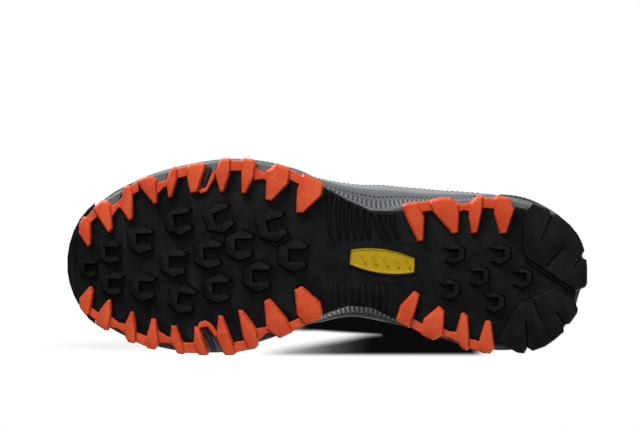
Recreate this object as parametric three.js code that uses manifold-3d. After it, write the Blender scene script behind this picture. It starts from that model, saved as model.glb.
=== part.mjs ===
// Left hiking boot, standing on its lugs. Millimetres, +Z up, toe towards -Y, lateral side towards +X.
// Plan points are written [s, x]: s is the distance forward from the back of the heel and x is positive
// on the lateral (outer) side. The right boot of the pair is this one mirrored in X.
import * as THREE from "three";
import { mergeVertices } from "three/addons/utils/BufferGeometryUtils.js";
import Module from "manifold-3d";

const wasm = await Module();
wasm.setup();

// ---- Driving dimensions ----
const SOLE_LENGTH = 300;
const SOLE_WIDTH = 113.5; // across the ball of the foot, over the teeth
const COLLAR_HEIGHT = 148; // back of the collar above the ground
const TOE_SPRING = 12; // lift of the toe tip
const LUG_DEPTH = 5;
const PLATE_THICKNESS = 3;
const HEEL_STACK = 24.7; // midsole under the heel
const TOE_STACK = 10.7; // midsole under the toe
const BUMPER_WALL = 2.6; // outsole rubber turned up round the toe
const TOOTH_WRAP_RISE = 11; // how far the coloured teeth climb the midsole
const TOOTH_BITE = 1.2; // how deep those wraps sit in the midsole
const SIPE_DEPTH = 3.5;
const SIPE_WIDTH = 0.9;
const SHANK_THICKNESS = 1.5;
const SHANK_WIDTH = 28;
const BOARD_THICKNESS = 2;
const INSOLE_THICKNESS = 4.5;
const SHELL_THICKNESS = 2.2;
const OVERLAY_THICKNESS = 1.5;
const STIFFENER_THICKNESS = 1.2;
const LINING_THICKNESS = 1;
const COLLAR_THICKNESS = 8;
const TONGUE_THICKNESS = 4;
const TONGUE_RISE = 24; // free end of the tongue above the collar
const LACE_RADIUS = 1.9;
const FITTING_WALL = 1.3;
const FITTING_LENGTH = 3.2;
const TAB_WIDTH = 13;
const TAB_HEIGHT = 24;
const TAB_DEPTH = 9;
const TAB_WALL = 1.6;

// ---- Clearances ----
const GAP = 0.3; // between pieces that touch
const POCKET_GAP = 0.35; // round a tooth in its pocket
const LAYER_GAP = 0.6; // between two curved layers of the upper
const CORE_GAP = 0.9; // between the shell and what lies inside it
const SEAM = 0.02; // between panels of one layer, in stations
const HINGE_GAP = 1;

// The outlines below are drawn for a sole of this size and stretched to the driving sizes.
const PATTERN = { length: 300, width: 113.5, height: 148 };
const LENGTH_SCALE = SOLE_LENGTH / PATTERN.length;
const WIDTH_SCALE = SOLE_WIDTH / PATTERN.width;
const HEIGHT_SCALE = COLLAR_HEIGHT / PATTERN.height;

const PLATE_TOP = LUG_DEPTH + PLATE_THICKNESS;
const MIDSOLE_BOTTOM = PLATE_TOP + GAP;

// ---- Colours ----
const finish = (color, roughness, metalness = 0) => ({ color, roughness, metalness });
const BLACK_RUBBER = finish(0x17181a, 0.62);
const ORANGE_RUBBER = finish(0xd2502e, 0.55);
const GREY_FOAM = finish(0x6d7072, 0.8);
const YELLOW_BADGE = finish(0xc9a321, 0.5);
const GREY_MESH = finish(0x33373a, 0.9);
const CHARCOAL_SUEDE = finish(0x4b4f52, 0.95);
const BLACK_OVERLAY = finish(0x1d1f21, 0.6);
const BLACK_LINING = finish(0x151617, 0.95);
const STIFF_BOARD = finish(0x8b8477, 0.9);
const NYLON = finish(0x2a2c2e, 0.6);
const GUNMETAL = finish(0x4a4d50, 0.4, 1);
const LACE = finish(0x2b2d2f, 0.9);
const ACCENT = finish(0xc84c2c, 0.85);

// ---- Sole outlines ----
// Lateral side from heel to toe, then medial side back to the heel.
const PLATE_OUTLINE = [
  [2.5, -3], [4, 8], [10, 20], [20, 28.5], [32, 32.5], [56, 36.5], [91, 33.5], [112, 32], [120, 31.5],
  [128, 34], [138, 39], [150, 45.5], [167, 50.5], [186, 54], [201, 58], [217, 57], [232, 54], [244, 49.5],
  [259, 45], [271, 36], [283, 29], [291, 22.5], [296.5, 12], [298.4, 0], [297.5, -10], [293, -19.5],
  [284, -27], [270, -33.5], [256, -41.5], [242, -42], [228, -46.5], [213, -46.5], [198, -44], [186, -35.5],
  [167, -32], [150, -27], [140, -23.3], [130, -22], [120, -25], [110, -30], [96, -32.5], [78, -37],
  [64, -43.5], [48, -45], [34, -45], [20, -39.5], [12, -31], [7.5, -22], [5, -12],
];
const MIDSOLE_LOW_OUTLINE = [
  [1, -2], [3, 10], [9, 21.5], [18, 30], [30, 35], [42, 38], [56, 39.5], [70, 38.5], [91, 37], [107, 35],
  [120, 32.5], [130, 36], [140, 40.5], [151, 46], [165, 54], [180, 58], [195, 60.5], [210, 60.5],
  [225, 58.5], [240, 55], [255, 50], [268, 43], [280, 35], [288, 27], [293, 18], [295.8, 8], [296.4, 0],
  [295.6, -8], [292, -18], [285.5, -28], [275, -36], [262, -42.5], [248, -46.5], [235, -49], [220, -50],
  [205, -49.3], [190, -44.5], [178, -40.5], [165, -35.5], [152, -29.5], [142, -24.5], [132, -22.8],
  [120, -25.5], [110, -31], [98, -37], [85, -41], [70, -46], [55, -48.5], [42, -48.5], [30, -46.5],
  [20, -42], [12, -35], [7, -27], [4, -17], [1.5, -9],
];
// At its top the midsole fills out beside the arch and is the same elsewhere.
const ARCH_TOP = {
  91: 39.5, 107: 41.2, 120: 42, 130: 43, 140: 44.5, 151: 47.3,
};
const MEDIAL_ARCH_TOP = {
  152: -33.5, 142: -31.5, 132: -31, 120: -32.5, 110: -35,
};
const MIDSOLE_TOP_OUTLINE = MIDSOLE_LOW_OUTLINE.map(([s, x]) => {
  const filled = x > 0 ? ARCH_TOP : MEDIAL_ARCH_TOP;
  return [s, filled[s] ?? x];
});

// ---- Outlines of the coloured teeth, toe to heel ----
const FOREFOOT_LATERAL_TEETH = [
  [[292.2, 24.5], [289.5, 28.6], [286.8, 28.4], [284.6, 24.5], [284.4, 13], [286.5, 10], [292.4, 18.5]],
  [[284.1, 33.3], [279, 37.8], [275.5, 37.8], [273, 35.8], [271.6, 22], [274, 19], [275.3, 19.3]],
  [[266.8, 41], [266, 45.6], [264, 46.9], [261.5, 46.2], [260, 43.5], [260, 27.5], [263, 26], [268, 33.5]],
  [[258.4, 49.6], [252.3, 52.3], [249, 51.8], [246.4, 50], [245.8, 37], [248.2, 35.3], [256, 45]],
  [[241.5, 50], [238.6, 56.6], [236.8, 57.6], [234.4, 56.8], [234.4, 50.5], [237.6, 40], [240.4, 39.4]],
  [
    [230, 57], [228, 59.2], [221.5, 60], [218.3, 59.4],
    [218.5, 57], [222.8, 43], [227.6, 41.8], [229.4, 50],
  ],
  [
    [213.5, 53.5], [211, 60.4], [209.3, 62.3], [205, 62.5],
    [203.6, 61.5], [204.4, 53], [208, 42.8], [210.6, 42.8],
  ],
  [[198.6, 61.5], [196.8, 62.5], [191.2, 61.9], [189.4, 59.8], [190.4, 52], [195.2, 42.2], [198.4, 41.9]],
  [
    [181.5, 56.8], [178.6, 59.4], [170.6, 57.3], [169.8, 55.5],
    [170.8, 48], [180.8, 37.6], [184.6, 38.4], [184, 55.6],
  ],
  [
    [164, 52.4], [162.4, 53.8], [152.2, 48.9], [150.8, 47.2],
    [151.8, 41], [162.6, 30.8], [167, 30.9], [166.4, 45],
  ],
];
const FOREFOOT_MEDIAL_TEETH = [
  [[292.4, -19], [292.2, -24], [288.4, -28.8], [285.4, -28.6], [283, -14], [284.2, -11.8], [286.2, -11.6]],
  [
    [282.9, -33.6], [276.4, -37.6], [274.4, -36.6], [272.6, -26.5],
    [273, -19.4], [275.2, -18.8], [280.6, -26],
  ],
  [
    [266.6, -35.5], [265.4, -41], [263.8, -43.8], [260, -44.6],
    [258.4, -43.6], [258.5, -34], [260, -26], [262.3, -26],
  ],
  [[253.7, -42], [253, -47], [248, -48.1], [245.8, -46], [245.3, -40.5], [247, -30], [250.2, -29.6]],
  [
    [239.6, -43], [235.2, -50], [231.8, -50.6], [230.3, -49.8],
    [231, -45.5], [235.4, -33.6], [238.8, -33.6],
  ],
  [[226, -43], [223.6, -50], [222.4, -51], [217.6, -51], [216.7, -49.6], [222.2, -34.6], [225.5, -33.7]],
  [
    [213, -40], [209.2, -49.2], [207.4, -51], [202.4, -50.8],
    [200.8, -49.6], [203, -42], [208.6, -28], [211.6, -27.6],
  ],
  [
    [197.8, -40], [194.4, -47.7], [190, -47.2], [188.3, -45.4],
    [188.5, -37], [191, -32.5], [197.6, -24.4], [200.4, -24.6],
  ],
  [
    [184.2, -35.5], [180, -39], [175.8, -41.2], [168.8, -37.8],
    [168.5, -36], [172, -29], [181.8, -17.7], [185.4, -19.2],
  ],
  [
    [166.6, -27.5], [162, -33.3], [159.6, -33.1], [152, -29.6],
    [151.4, -25], [152.6, -20], [163.4, -10.6], [168, -13],
  ],
];
const HEEL_LATERAL_TEETH = [
  [
    [106.3, 35.2], [104.5, 36.6], [97.3, 37.4], [93, 29.5],
    [93.4, 16], [94.6, 14.6], [97.4, 14.4], [104.2, 28.6],
  ],
  [
    [91.2, 37], [89.4, 38.8], [84, 40], [78, 40], [73.4, 36],
    [73, 30], [73.6, 19.6], [77.4, 18.7], [88.6, 31.5],
  ],
  [
    [67, 37.2], [63.4, 40.6], [60.2, 41.2], [59.4, 40.4],
    [60, 32.5], [62.6, 19.6], [66.6, 18.9], [68.4, 30],
  ],
  [[53.6, 39.6], [51.6, 40.9], [44.4, 39.9], [41.3, 33.6], [46, 19.2], [50.2, 18.8], [53.9, 31]],
];
const HEEL_MEDIAL_TEETH = [
  [
    [109.6, -30], [108.6, -32.2], [102.4, -35.3], [101, -34.2],
    [98.4, -26.5], [95.4, -15.6], [99.2, -13.4], [107.2, -22],
  ],
  [
    [95.9, -37.6], [94.4, -39.8], [89, -42.2], [86.4, -41.8],
    [82, -39], [81.4, -25], [84.8, -22], [93.8, -29.8],
  ],
  [
    [75.3, -38], [74, -44], [71, -47.7], [69, -48.3], [67.2, -47],
    [67, -38.5], [68, -28], [70.4, -26], [72.2, -26.4],
  ],
  [
    [61.7, -46.5], [60, -49.8], [55, -50], [52.5, -46.8],
    [54.4, -31.6], [56.4, -30.3], [58.4, -31], [61.6, -41],
  ],
];
// Bars and scallops join one tooth to the next; a slot leaves the midsole showing between two of them.
const FOREFOOT_LINKS = ["bar", "scallop", "bar", "scallop", "bar", "slot", "bar", "scallop", "bar"];
const HEEL_LINKS = ["bar", "scallop", "bar"];
const SLOT_RETURN = {
  lateral: [
    [223.4, 44.5], [221.5, 42.2], [217.8, 43.6], [213.6, 51],
    [212.6, 56], [215, 54], [218.2, 45.8], [221, 44.9],
  ],
  medial: [
    [224, -36], [222.5, -31.8], [219, -30.6], [215.6, -32.6], [212, -37.5],
    [212.6, -41], [215, -38], [217.6, -34.4], [221.6, -35],
  ],
};
const SLOT_BAR = {
  lateral: [[216, 57.6], [219.9, 47.6]],
  medial: [[219, -37], [213.4, -48.6]],
};
const SLOT_BAR_WIDTH = 2.6;

// ---- Black heel blocks and their sipes ----
const HEEL_BLOCKS = [
  [
    [35.8, 33.4], [34, 34.2], [31.6, 36.8], [22, 33.2], [21.1, 30], [17, 30.4], [10, 24.5], [5.5, 19],
    [3, 14], [1.7, 9.8], [3.8, 6], [0.5, 4.2], [0.1, 0], [0.1, -9.4], [1.2, -11.2], [6.8, -13.8],
    [35.6, 6.2], [37, 10], [37, 28],
  ],
  [
    [8.6, -17], [18.5, -11.5], [28.6, -16], [31.4, -17], [38.6, -20.8], [42.4, -26], [50.4, -42],
    [46, -45.5],
    [40, -49], [36, -49.5], [34, -46.2], [31, -48], [24, -45.5], [19, -42], [13.2, -37], [13.5, -33],
    [9.8, -32.3],
    [5.8, -26.5], [5.2, -24], [7.5, -18],
  ],
];
const SIPES = [
  [[20.5, 31], [26.5, 16]], [[24, 0.5], [13.5, 12.5]], [[2.8, 6.6], [8, 0.5]],
  [[32, -16.5], [26, -31]], [[34, -47.5], [35.2, -31]], [[12.4, -33.4], [17.8, -25]],
];
const HEEL_RIDGE = [[35, 4.6], [8, -13.6]];
const HEEL_RIDGE_WIDTH = 1.8;

// ---- Badge and arch ribs ----
const BADGE = [
  [136.2, 1.5], [135, 10.3], [127, 11.2], [118, 10.7], [108, 8.5], [98.8, 5.2], [99.5, -3], [110, -4.4],
  [122, -2.8],
];
const BADGE_RIM = 1.2;
const BADGE_SLASHES = [130, 123.5, 117, 110.5, 104]; // plain slanted bars across the badge
const BADGE_BAR = { height: 6.2, width: 1.5, slant: 2.8, rise: 0.7 };
const ARCH_MARKS = [
  [[120, -7.4], [115.4, -9.2], [119.6, -9.4]],
  [[110.4, -7.4], [104.2, -9.2], [109.6, -9.6]],
];
const RIB = { height: 1.4, root: 2.4, tip: 1, slant: 4, slantBehind: 122 }; // the rear lateral ribs slant
const LATERAL_RIBS = [
  [147, 44], [142, 41], [137.5, 38.5], [133, 36], [129, 34], [125, 32.5], [121, 31], [117, 31], [112, 31.2],
];
const LATERAL_RIB_END = 15.5;
const MEDIAL_RIBS = [
  [144, -24], [140, -22.4], [136, -21.6], [132, -21], [128, -21.4], [124, -22.4], [120, -24], [116, -26],
];
const MEDIAL_RIB_END = -9.5;

// ---- Wrench-shaped lugs: [s, x, size, turn in degrees]; the jaw opens to the heel in the forefoot ----
const WRENCH_OUTLINE = [
  [-7.5, 4.2], [1, 8.4], [7.8, 5], [6, 2.5], [-1.8, 2.5],
  [-1.8, -2.5], [6, -2.5], [7, -5.5], [0, -8.4], [-7.5, -4.2],
];
const FOREFOOT_WRENCHES = [
  [286.5, -1, 0.75, 0], [274, 8.5, 0.9, 0], [272.5, -10, 0.9, 0], [256, 16, 1.05, 0], [254.5, -11.5, 1.05, 0],
  [234, 27, 1.1, -10], [237, 3, 1.1, 0], [211, 28.5, 1.15, -20], [217, 8, 1.15, 0], [232, -18, 1.1, 10],
  [212, -12, 1.1, 0], [199, 13, 1.15, 0], [180.5, 24, 1.2, -15], [168.5, 7, 1.2, 0], [189, -5, 1.15, 0],
];
const HEEL_WRENCHES = [
  [76, 7.9, 0.8, 0], [49.8, 7.9, 0.8, 0], [61.8, -4.7, 0.8, 0], [37.2, -5.7, 0.8, 0], [78.7, -12.3, 0.8, 0],
  [53, -20, 0.8, 0],
];

// ---- The upper, drawn as 14 seams from the sole edge to the top edge, heel to toe on each side ----
// [sole s, top s, top x, top z, low swell, low rise, high swell, high drop]
const SEAMS = [
  [0, 14, 0, 148, 9, 38, -7, 42],
  [10, 19, 19, 147, 4, 38, -5, 42],
  [30, 36, 30, 144, 3.5, 38, -2, 42],
  [62, 64, 34, 141, 3, 40, 0, 42],
  [92, 92, 32, 146, 6, 42, 4, 40],
  [114, 112, 26.5, 153, 6.5, 42, 9, 34],
  [134, 131, 23, 136, 4.5, 38, 13, 20],
  [156, 152, 20.5, 116, 1.5, 34, 16, 12],
  [180, 175, 18.5, 100, 2.5, 30, 18, 8],
  [205, 196, 16.5, 88.5, 1.5, 28, 21, 5],
  [230, 208, 13.5, 83, 1, 27, 25, 4],
  [256, 213.5, 9.5, 81, 1, 28, 30, 3],
  [280, 216, 5, 80, 1.5, 30, 34, 2.5],
  [300, 217, 0, 79.5, 2, 32, 38, 2],
];
const TOE_STATION = SEAMS.length - 1;
const STATIONS = 2 * TOE_STATION;
const FEATHER_INSET = 2;
const LACE_ROWS = [9.35, 8.55, 7.75, 6.95, 6.15, 5.4]; // stations of the lace fittings, bottom row first
const FIRST_HOOK_ROW = 4;
const LACE_LINE = 0.9; // height of the fittings on a seam, as a share

// ======================= Shape tools =======================

const smooth = THREE.MathUtils.smoothstep;
const plan = ([s, x]) => new THREE.Vector2(x * WIDTH_SCALE, -s * LENGTH_SCALE);
const patternS = (y) => -y / LENGTH_SCALE;
// Height that the curved toe adds to every level of the sole.
const spring = (y) => TOE_SPRING * Math.max(0, (patternS(y) - 205) / 95) ** 2;
const midsoleTop = (y) =>
  MIDSOLE_BOTTOM + TOE_STACK + (HEEL_STACK - TOE_STACK) * (1 - smooth(patternS(y), 45, 295)) + spring(y);
const level = (z) => (y) => z + spring(y);

// A solid from a closed triangle mesh, turned so that its faces point out.
function solidOf(geometry) {
  const bare = geometry.clone();
  bare.deleteAttribute("normal");
  bare.deleteAttribute("uv");
  const merged = mergeVertices(bare, 1e-4);
  const index = merged.index.array;
  const kept = [];
  for (let i = 0; i < index.length; i += 3) {
    const [a, b, c] = [index[i], index[i + 1], index[i + 2]];
    if (a !== b && b !== c && c !== a) kept.push(a, b, c);
  }
  const build = (triangles) =>
    new wasm.Manifold(
      new wasm.Mesh({
        numProp: 3,
        vertProperties: merged.attributes.position.array,
        triVerts: new Uint32Array(triangles),
      }),
    );
  const made = build(kept);
  return made.volume() < 0 ? build(kept.reverse()) : made;
}

function solidFrom(points, triangles) {
  const geometry = new THREE.BufferGeometry().setFromPoints(points);
  geometry.setIndex(triangles);
  return solidOf(geometry);
}

const join = (solids) => solids.reduce((whole, piece) => whole.add(piece));
const largest = (solid) => solid.decompose().sort((a, b) => b.volume() - a.volume())[0];

function geometryOf(solid) {
  const mesh = solid.getMesh();
  const points = [];
  for (let i = 0; i < mesh.numVert; i++) {
    points.push(new THREE.Vector3().fromArray(mesh.vertProperties, i * mesh.numProp));
  }
  const geometry = new THREE.BufferGeometry().setFromPoints(points);
  geometry.setIndex([...mesh.triVerts]);
  const flat = geometry.toNonIndexed();
  flat.computeVertexNormals();
  return flat;
}

// Moves a polygon's edges outward by a distance, or inward if it is negative.
function offsetPolygon(points, distance) {
  const turn = THREE.ShapeUtils.isClockWise(points) ? -1 : 1;
  const edgeNormal = (a, b) => new THREE.Vector2(b.y - a.y, a.x - b.x).normalize().multiplyScalar(turn);
  return points.map((p, i) => {
    const before = edgeNormal(points.at(i - 1), p);
    const after = edgeNormal(p, points[(i + 1) % points.length]);
    const miter = Math.max(0.35, 1 + before.dot(after));
    return before.add(after).multiplyScalar(distance / miter).add(p);
  });
}

// A solid on a plan polygon. Each stage is [outward offset, height], from the bottom up.
function prism(polygon, stages, lift = () => 0) {
  const points = THREE.ShapeUtils.isClockWise(polygon) ? [...polygon].reverse() : polygon;
  const count = points.length;
  const loops = stages.map(([outward]) => offsetPolygon(points, outward));
  const raised = (loop, height) => loop.map((p) => new THREE.Vector3(p.x, p.y, height + lift(p.y)));
  const vertices = loops.flatMap((loop, k) => raised(loop, stages[k][1]));
  const triangles = [];
  for (let k = 0; k + 1 < stages.length; k++) {
    for (let i = 0; i < count; i++) {
      const a = k * count + i;
      const b = k * count + ((i + 1) % count);
      triangles.push(a, b, b + count, a, b + count, a + count);
    }
  }
  const last = (stages.length - 1) * count;
  for (const [a, b, c] of THREE.ShapeUtils.triangulateShape(points, [])) {
    triangles.push(c, b, a, last + a, last + b, last + c);
  }
  return solidFrom(vertices, triangles);
}

// A plan polygon round a straight line, with square ends and its own width at each end.
function stripe([from, to], width, endWidth = width) {
  const along = new THREE.Vector2().subVectors(to, from).normalize();
  const across = new THREE.Vector2(-along.y, along.x);
  const corner = (p, side, w) => p.clone().addScaledVector(across, (side * w) / 2);
  return [corner(from, -1, width), corner(to, -1, endWidth), corner(to, 1, endWidth), corner(from, 1, width)];
}

// A smooth closed sole outline, read as a lateral and a medial edge between its heel and toe ends.
class Outline {
  constructor(points) {
    this.points = points;
    const heel = points.reduce((best, p, i) => (p.y > points[best].y ? i : best), 0);
    const turned = [...points.slice(heel), ...points.slice(0, heel)];
    const toe = turned.reduce((best, p, i) => (p.y < turned[best].y ? i : best), 0);
    this.heelY = turned[0].y;
    this.toeY = turned[toe].y;
    this.edges = { 1: turned.slice(0, toe + 1), [-1]: [turned[0], ...turned.slice(toe).reverse()] };
  }
  static through(rows) {
    const knots = rows.map((row) => {
      const p = plan(row);
      return new THREE.Vector3(p.x, p.y, 0);
    });
    const curve = new THREE.CatmullRomCurve3(knots, true, "centripetal");
    return new Outline(curve.getPoints(400).slice(0, -1).map((p) => new THREE.Vector2(p.x, p.y)));
  }
  inset(distance) {
    return new Outline(offsetPolygon(this.points, -distance));
  }
  at(side, y) {
    const edge = this.edges[side];
    const clamped = THREE.MathUtils.clamp(y, this.toeY, this.heelY);
    const next = Math.max(1, edge.findIndex((p) => p.y <= clamped));
    const [a, b] = [edge[next - 1], edge[next]];
    const share = a.y === b.y ? 0 : (a.y - clamped) / (a.y - b.y);
    return new THREE.Vector2(THREE.MathUtils.lerp(a.x, b.x, share), clamped);
  }
  // A point a share of the way from the heel end to the toe end.
  along(side, share) {
    return this.at(side, THREE.MathUtils.lerp(this.heelY, this.toeY, share));
  }
}

// A slab between stacked outlines. Each layer is { outline, z }, z being a height or a function of y.
function slab(layers, stations = 34) {
  const rings = [];
  for (let i = 0; i <= stations; i++) {
    const share = (1 - Math.cos(Math.PI * (0.015 + (0.97 * i) / stations))) / 2;
    const point = ({ outline, z }, side) => {
      const p = outline.along(side, share);
      return new THREE.Vector3(p.x, p.y, z(p.y));
    };
    rings.push([...layers.map((l) => point(l, 1)), ...[...layers].reverse().map((l) => point(l, -1))]);
  }
  const count = rings[0].length;
  const triangles = [];
  for (let i = 0; i < stations; i++) {
    for (let j = 0; j < count; j++) {
      const a = i * count + j;
      const b = i * count + ((j + 1) % count);
      triangles.push(a, b, b + count, a, b + count, a + count);
    }
  }
  for (let j = 0; j + 1 < layers.length; j++) {
    const k = count - 1 - j;
    triangles.push(j, k, k - 1, j, k - 1, j + 1);
    const end = stations * count;
    triangles.push(end + j, end + k - 1, end + k, end + j, end + j + 1, end + k - 1);
  }
  return solidFrom(rings.flat(), triangles);
}

// A closed sheet between two grids of points, (columns + 1) by (rows + 1).
function thickSheet(outer, inner, columns, rows) {
  const points = [];
  for (const face of [outer, inner]) {
    for (let i = 0; i <= columns; i++) {
      for (let j = 0; j <= rows; j++) points.push(face(i / columns, j / rows));
    }
  }
  const back = (columns + 1) * (rows + 1);
  const at = (i, j) => i * (rows + 1) + j;
  const triangles = [];
  const quad = (a, b, c, d) => triangles.push(a, b, c, a, c, d);
  for (let i = 0; i < columns; i++) {
    for (let j = 0; j < rows; j++) {
      const [a, b, c, d] = [at(i, j), at(i + 1, j), at(i + 1, j + 1), at(i, j + 1)];
      quad(a, b, c, d);
      quad(back + d, back + c, back + b, back + a);
    }
  }
  for (let i = 0; i < columns; i++) {
    quad(at(i + 1, 0), at(i, 0), back + at(i, 0), back + at(i + 1, 0));
    quad(at(i, rows), at(i + 1, rows), back + at(i + 1, rows), back + at(i, rows));
  }
  for (let j = 0; j < rows; j++) {
    quad(at(0, j), at(0, j + 1), back + at(0, j + 1), back + at(0, j));
    quad(at(columns, j + 1), at(columns, j), back + at(columns, j), back + at(columns, j + 1));
  }
  return solidFrom(points, triangles);
}

// A curve that is sampled at its own points, so that each chosen point becomes one step of a cord.
class Route extends THREE.CatmullRomCurve3 {
  getPointAt(u, target) {
    return this.getPoint(u, target);
  }
  getTangentAt(u, target) {
    return this.getTangent(u, target);
  }
}

// A round cord through the points, one step from each point to the next.
function cordAlong(points, radius, sides = 8) {
  const section = new THREE.Shape();
  section.absarc(0, 0, radius, 0, 2 * Math.PI);
  const extrudePath = new Route(points, false, "centripetal");
  const steps = points.length - 1;
  return solidOf(
    new THREE.ExtrudeGeometry(section, { steps, curveSegments: sides / 2, extrudePath, bevelEnabled: false }),
  );
}

// ======================= Sole =======================

const plateOutline = Outline.through(PLATE_OUTLINE);
const midsoleLow = Outline.through(MIDSOLE_LOW_OUTLINE);
const midsoleHigh = Outline.through(MIDSOLE_TOP_OUTLINE);

// The midsole's block, moved inward by a distance and stretched below and above its own faces.
function midsoleBlock(inset, below, above, stations) {
  const low = midsoleLow.inset(inset);
  const high = midsoleHigh.inset(inset);
  const layers = [];
  if (below) layers.push({ outline: low, z: level(MIDSOLE_BOTTOM - below) });
  layers.push({ outline: low, z: level(MIDSOLE_BOTTOM) });
  layers.push({ outline: high, z: midsoleTop });
  if (above) layers.push({ outline: high, z: (y) => midsoleTop(y) + above });
  return slab(layers, stations);
}

const toothStages = [[-1.3, 0], [-0.5, 1.3], [0, PLATE_TOP]];
const linkStages = [[-0.5, LUG_DEPTH * 0.5], [0, LUG_DEPTH * 0.5 + 0.7], [0, PLATE_TOP]];
const wrapTop = PLATE_TOP + TOOTH_WRAP_RISE;
const wrapStages = (grow) => [[grow - 0.7, LUG_DEPTH], [grow - 2.2, wrapTop + grow]];

// The outer corner of a tooth that faces the next one; forward is +1 for the corner nearer the toe.
function outerCorner(tooth, side, forward) {
  const reach = Math.max(...tooth.map((p) => side * p.x));
  const outer = tooth.filter((p) => side * p.x > reach - 3);
  return outer.reduce((best, p) => (forward * p.y < forward * best.y ? p : best));
}

// A bar or a scallop from one tooth to the next, just inside their outer corners.
function linkPolygon(kind, ahead, behind, side) {
  const from = outerCorner(ahead, side, -1);
  const to = outerCorner(behind, side, 1);
  const at = (p, rearward, inward) => new THREE.Vector2(p.x - side * inward, p.y + rearward);
  if (kind === "bar") return [at(from, -1.5, 0.4), at(to, 1.5, 0.4), at(to, 1.5, 6.2), at(from, -1.5, 6.2)];
  const middle = new THREE.Vector2().addVectors(from, to).multiplyScalar(0.5);
  return [
    at(from, -1.5, 2), at(middle, 0, 4), at(to, 1.5, 2),
    at(to, 1.5, 10), at(middle, 0, 7.6), at(from, -1.5, 10),
  ];
}

// The plan of one band: its teeth, and the joints between them. A slot has a thin return round it instead.
function bandShapes(rows, links, side, slotReturn) {
  const teeth = rows.map((row) => row.map(plan));
  const joints = links.map((kind, i) =>
    kind === "slot" ? slotReturn.map(plan) : linkPolygon(kind, teeth[i], teeth[i + 1], side),
  );
  return { teeth, joints };
}

const bandPlans = {
  lug_band_forefoot_lateral: bandShapes(FOREFOOT_LATERAL_TEETH, FOREFOOT_LINKS, 1, SLOT_RETURN.lateral),
  lug_band_forefoot_medial: bandShapes(FOREFOOT_MEDIAL_TEETH, FOREFOOT_LINKS, -1, SLOT_RETURN.medial),
  lug_band_heel_lateral: bandShapes(HEEL_LATERAL_TEETH, HEEL_LINKS, 1),
  lug_band_heel_medial: bandShapes(HEEL_MEDIAL_TEETH, HEEL_LINKS, -1),
};
const allTeeth = Object.values(bandPlans).flatMap(({ teeth }) => teeth);
const allJoints = Object.values(bandPlans).flatMap(({ joints }) => joints);

const bandCore = midsoleBlock(TOOTH_BITE, GAP + 0.15, 20);
function lugBand({ teeth, joints }) {
  const low = join([
    ...teeth.map((t) => prism(t, toothStages, spring)),
    ...joints.map((t) => prism(t, linkStages, spring)),
  ]);
  const climbing = join(teeth.map((t) => prism(t, wrapStages(0), spring)));
  return largest(low.add(climbing.subtract(bandCore)));
}

// Room for the teeth: pockets through the plate and grooves up the midsole's side.
const pockets = join([
  ...allTeeth.map((t) => prism(t, [[POCKET_GAP, -1], [POCKET_GAP, MIDSOLE_BOTTOM]], spring)),
  ...allJoints.map((t) => prism(t, [[POCKET_GAP, 1], [POCKET_GAP, MIDSOLE_BOTTOM]], spring)),
]);
const wrapRoom = join(allTeeth.map((t) => prism(t, wrapStages(POCKET_GAP), spring)));
const slotBars = Object.values(SLOT_BAR).map((ends) => stripe(ends.map(plan), SLOT_BAR_WIDTH));

function wrenchPolygon([s, x, size, turn], opening) {
  const centre = plan([s, x]);
  return WRENCH_OUTLINE.map(([along, across]) => {
    const p = new THREE.Vector2(across * size, opening * along * size);
    return p.rotateAround(new THREE.Vector2(), THREE.MathUtils.degToRad(turn)).add(centre);
  });
}

function outsole() {
  const plate = slab([
    { outline: plateOutline.inset(0.6), z: level(LUG_DEPTH) },
    { outline: plateOutline, z: level(LUG_DEPTH + 0.8) },
    { outline: plateOutline, z: level(PLATE_TOP) },
  ]);
  const lugStages = [[-0.9, 0], [0.4, LUG_DEPTH + 0.5]];
  const wrenches = [
    ...FOREFOOT_WRENCHES.map((w) => wrenchPolygon(w, 1)),
    ...HEEL_WRENCHES.map((w) => wrenchPolygon(w, -1)),
  ].map((p) => prism(p, lugStages, spring));
  const blocks = HEEL_BLOCKS.map((rows) => prism(rows.map(plan), [[-0.9, 0], [0, 1.1], [0, PLATE_TOP]]));
  const sipes = SIPES.map((ends) => prism(stripe(ends.map(plan), SIPE_WIDTH), [[0, -1], [0, SIPE_DEPTH]]));
  const ridgeStages = [[0, LUG_DEPTH * 0.5], [0.4, LUG_DEPTH + 0.5]];
  const ridge = prism(stripe(HEEL_RIDGE.map(plan), HEEL_RIDGE_WIDTH), ridgeStages);
  const ribStages = [[-0.3, LUG_DEPTH - RIB.height], [0, LUG_DEPTH + 0.5]];
  const rib = (root, tip) => prism(stripe([plan(root), plan(tip)], RIB.root, RIB.tip), ribStages);
  const slant = (s) => (s < RIB.slantBehind ? RIB.slant : 0);
  const ribs = [
    ...LATERAL_RIBS.map(([s, x]) => rib([s, x], [s - slant(s), LATERAL_RIB_END])),
    ...MEDIAL_RIBS.map(([s, x]) => rib([s, x], [s, MEDIAL_RIB_END])),
  ];
  const marks = ARCH_MARKS.map((rows) => prism(rows.map(plan), [[0, LUG_DEPTH - 0.8], [0, LUG_DEPTH + 0.5]]));
  const rim = prism(BADGE.map(plan), [[BADGE_RIM - 0.3, LUG_DEPTH - 1.4], [BADGE_RIM, LUG_DEPTH + 0.5]]);
  const badgePocket = prism(BADGE.map(plan), [[GAP, 0], [GAP, LUG_DEPTH + 1.5 + GAP]]);
  const barHoles = slotBars.map((p) => prism(p, [[POCKET_GAP, 0], [POCKET_GAP, MIDSOLE_BOTTOM]], spring));
  const body = join([plate, toeBumper(), ...wrenches, ...blocks, ridge, ...ribs, ...marks, rim]);
  return largest(body.subtract(join([pockets, badgePocket, ...sipes, ...barHoles])));
}

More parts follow.
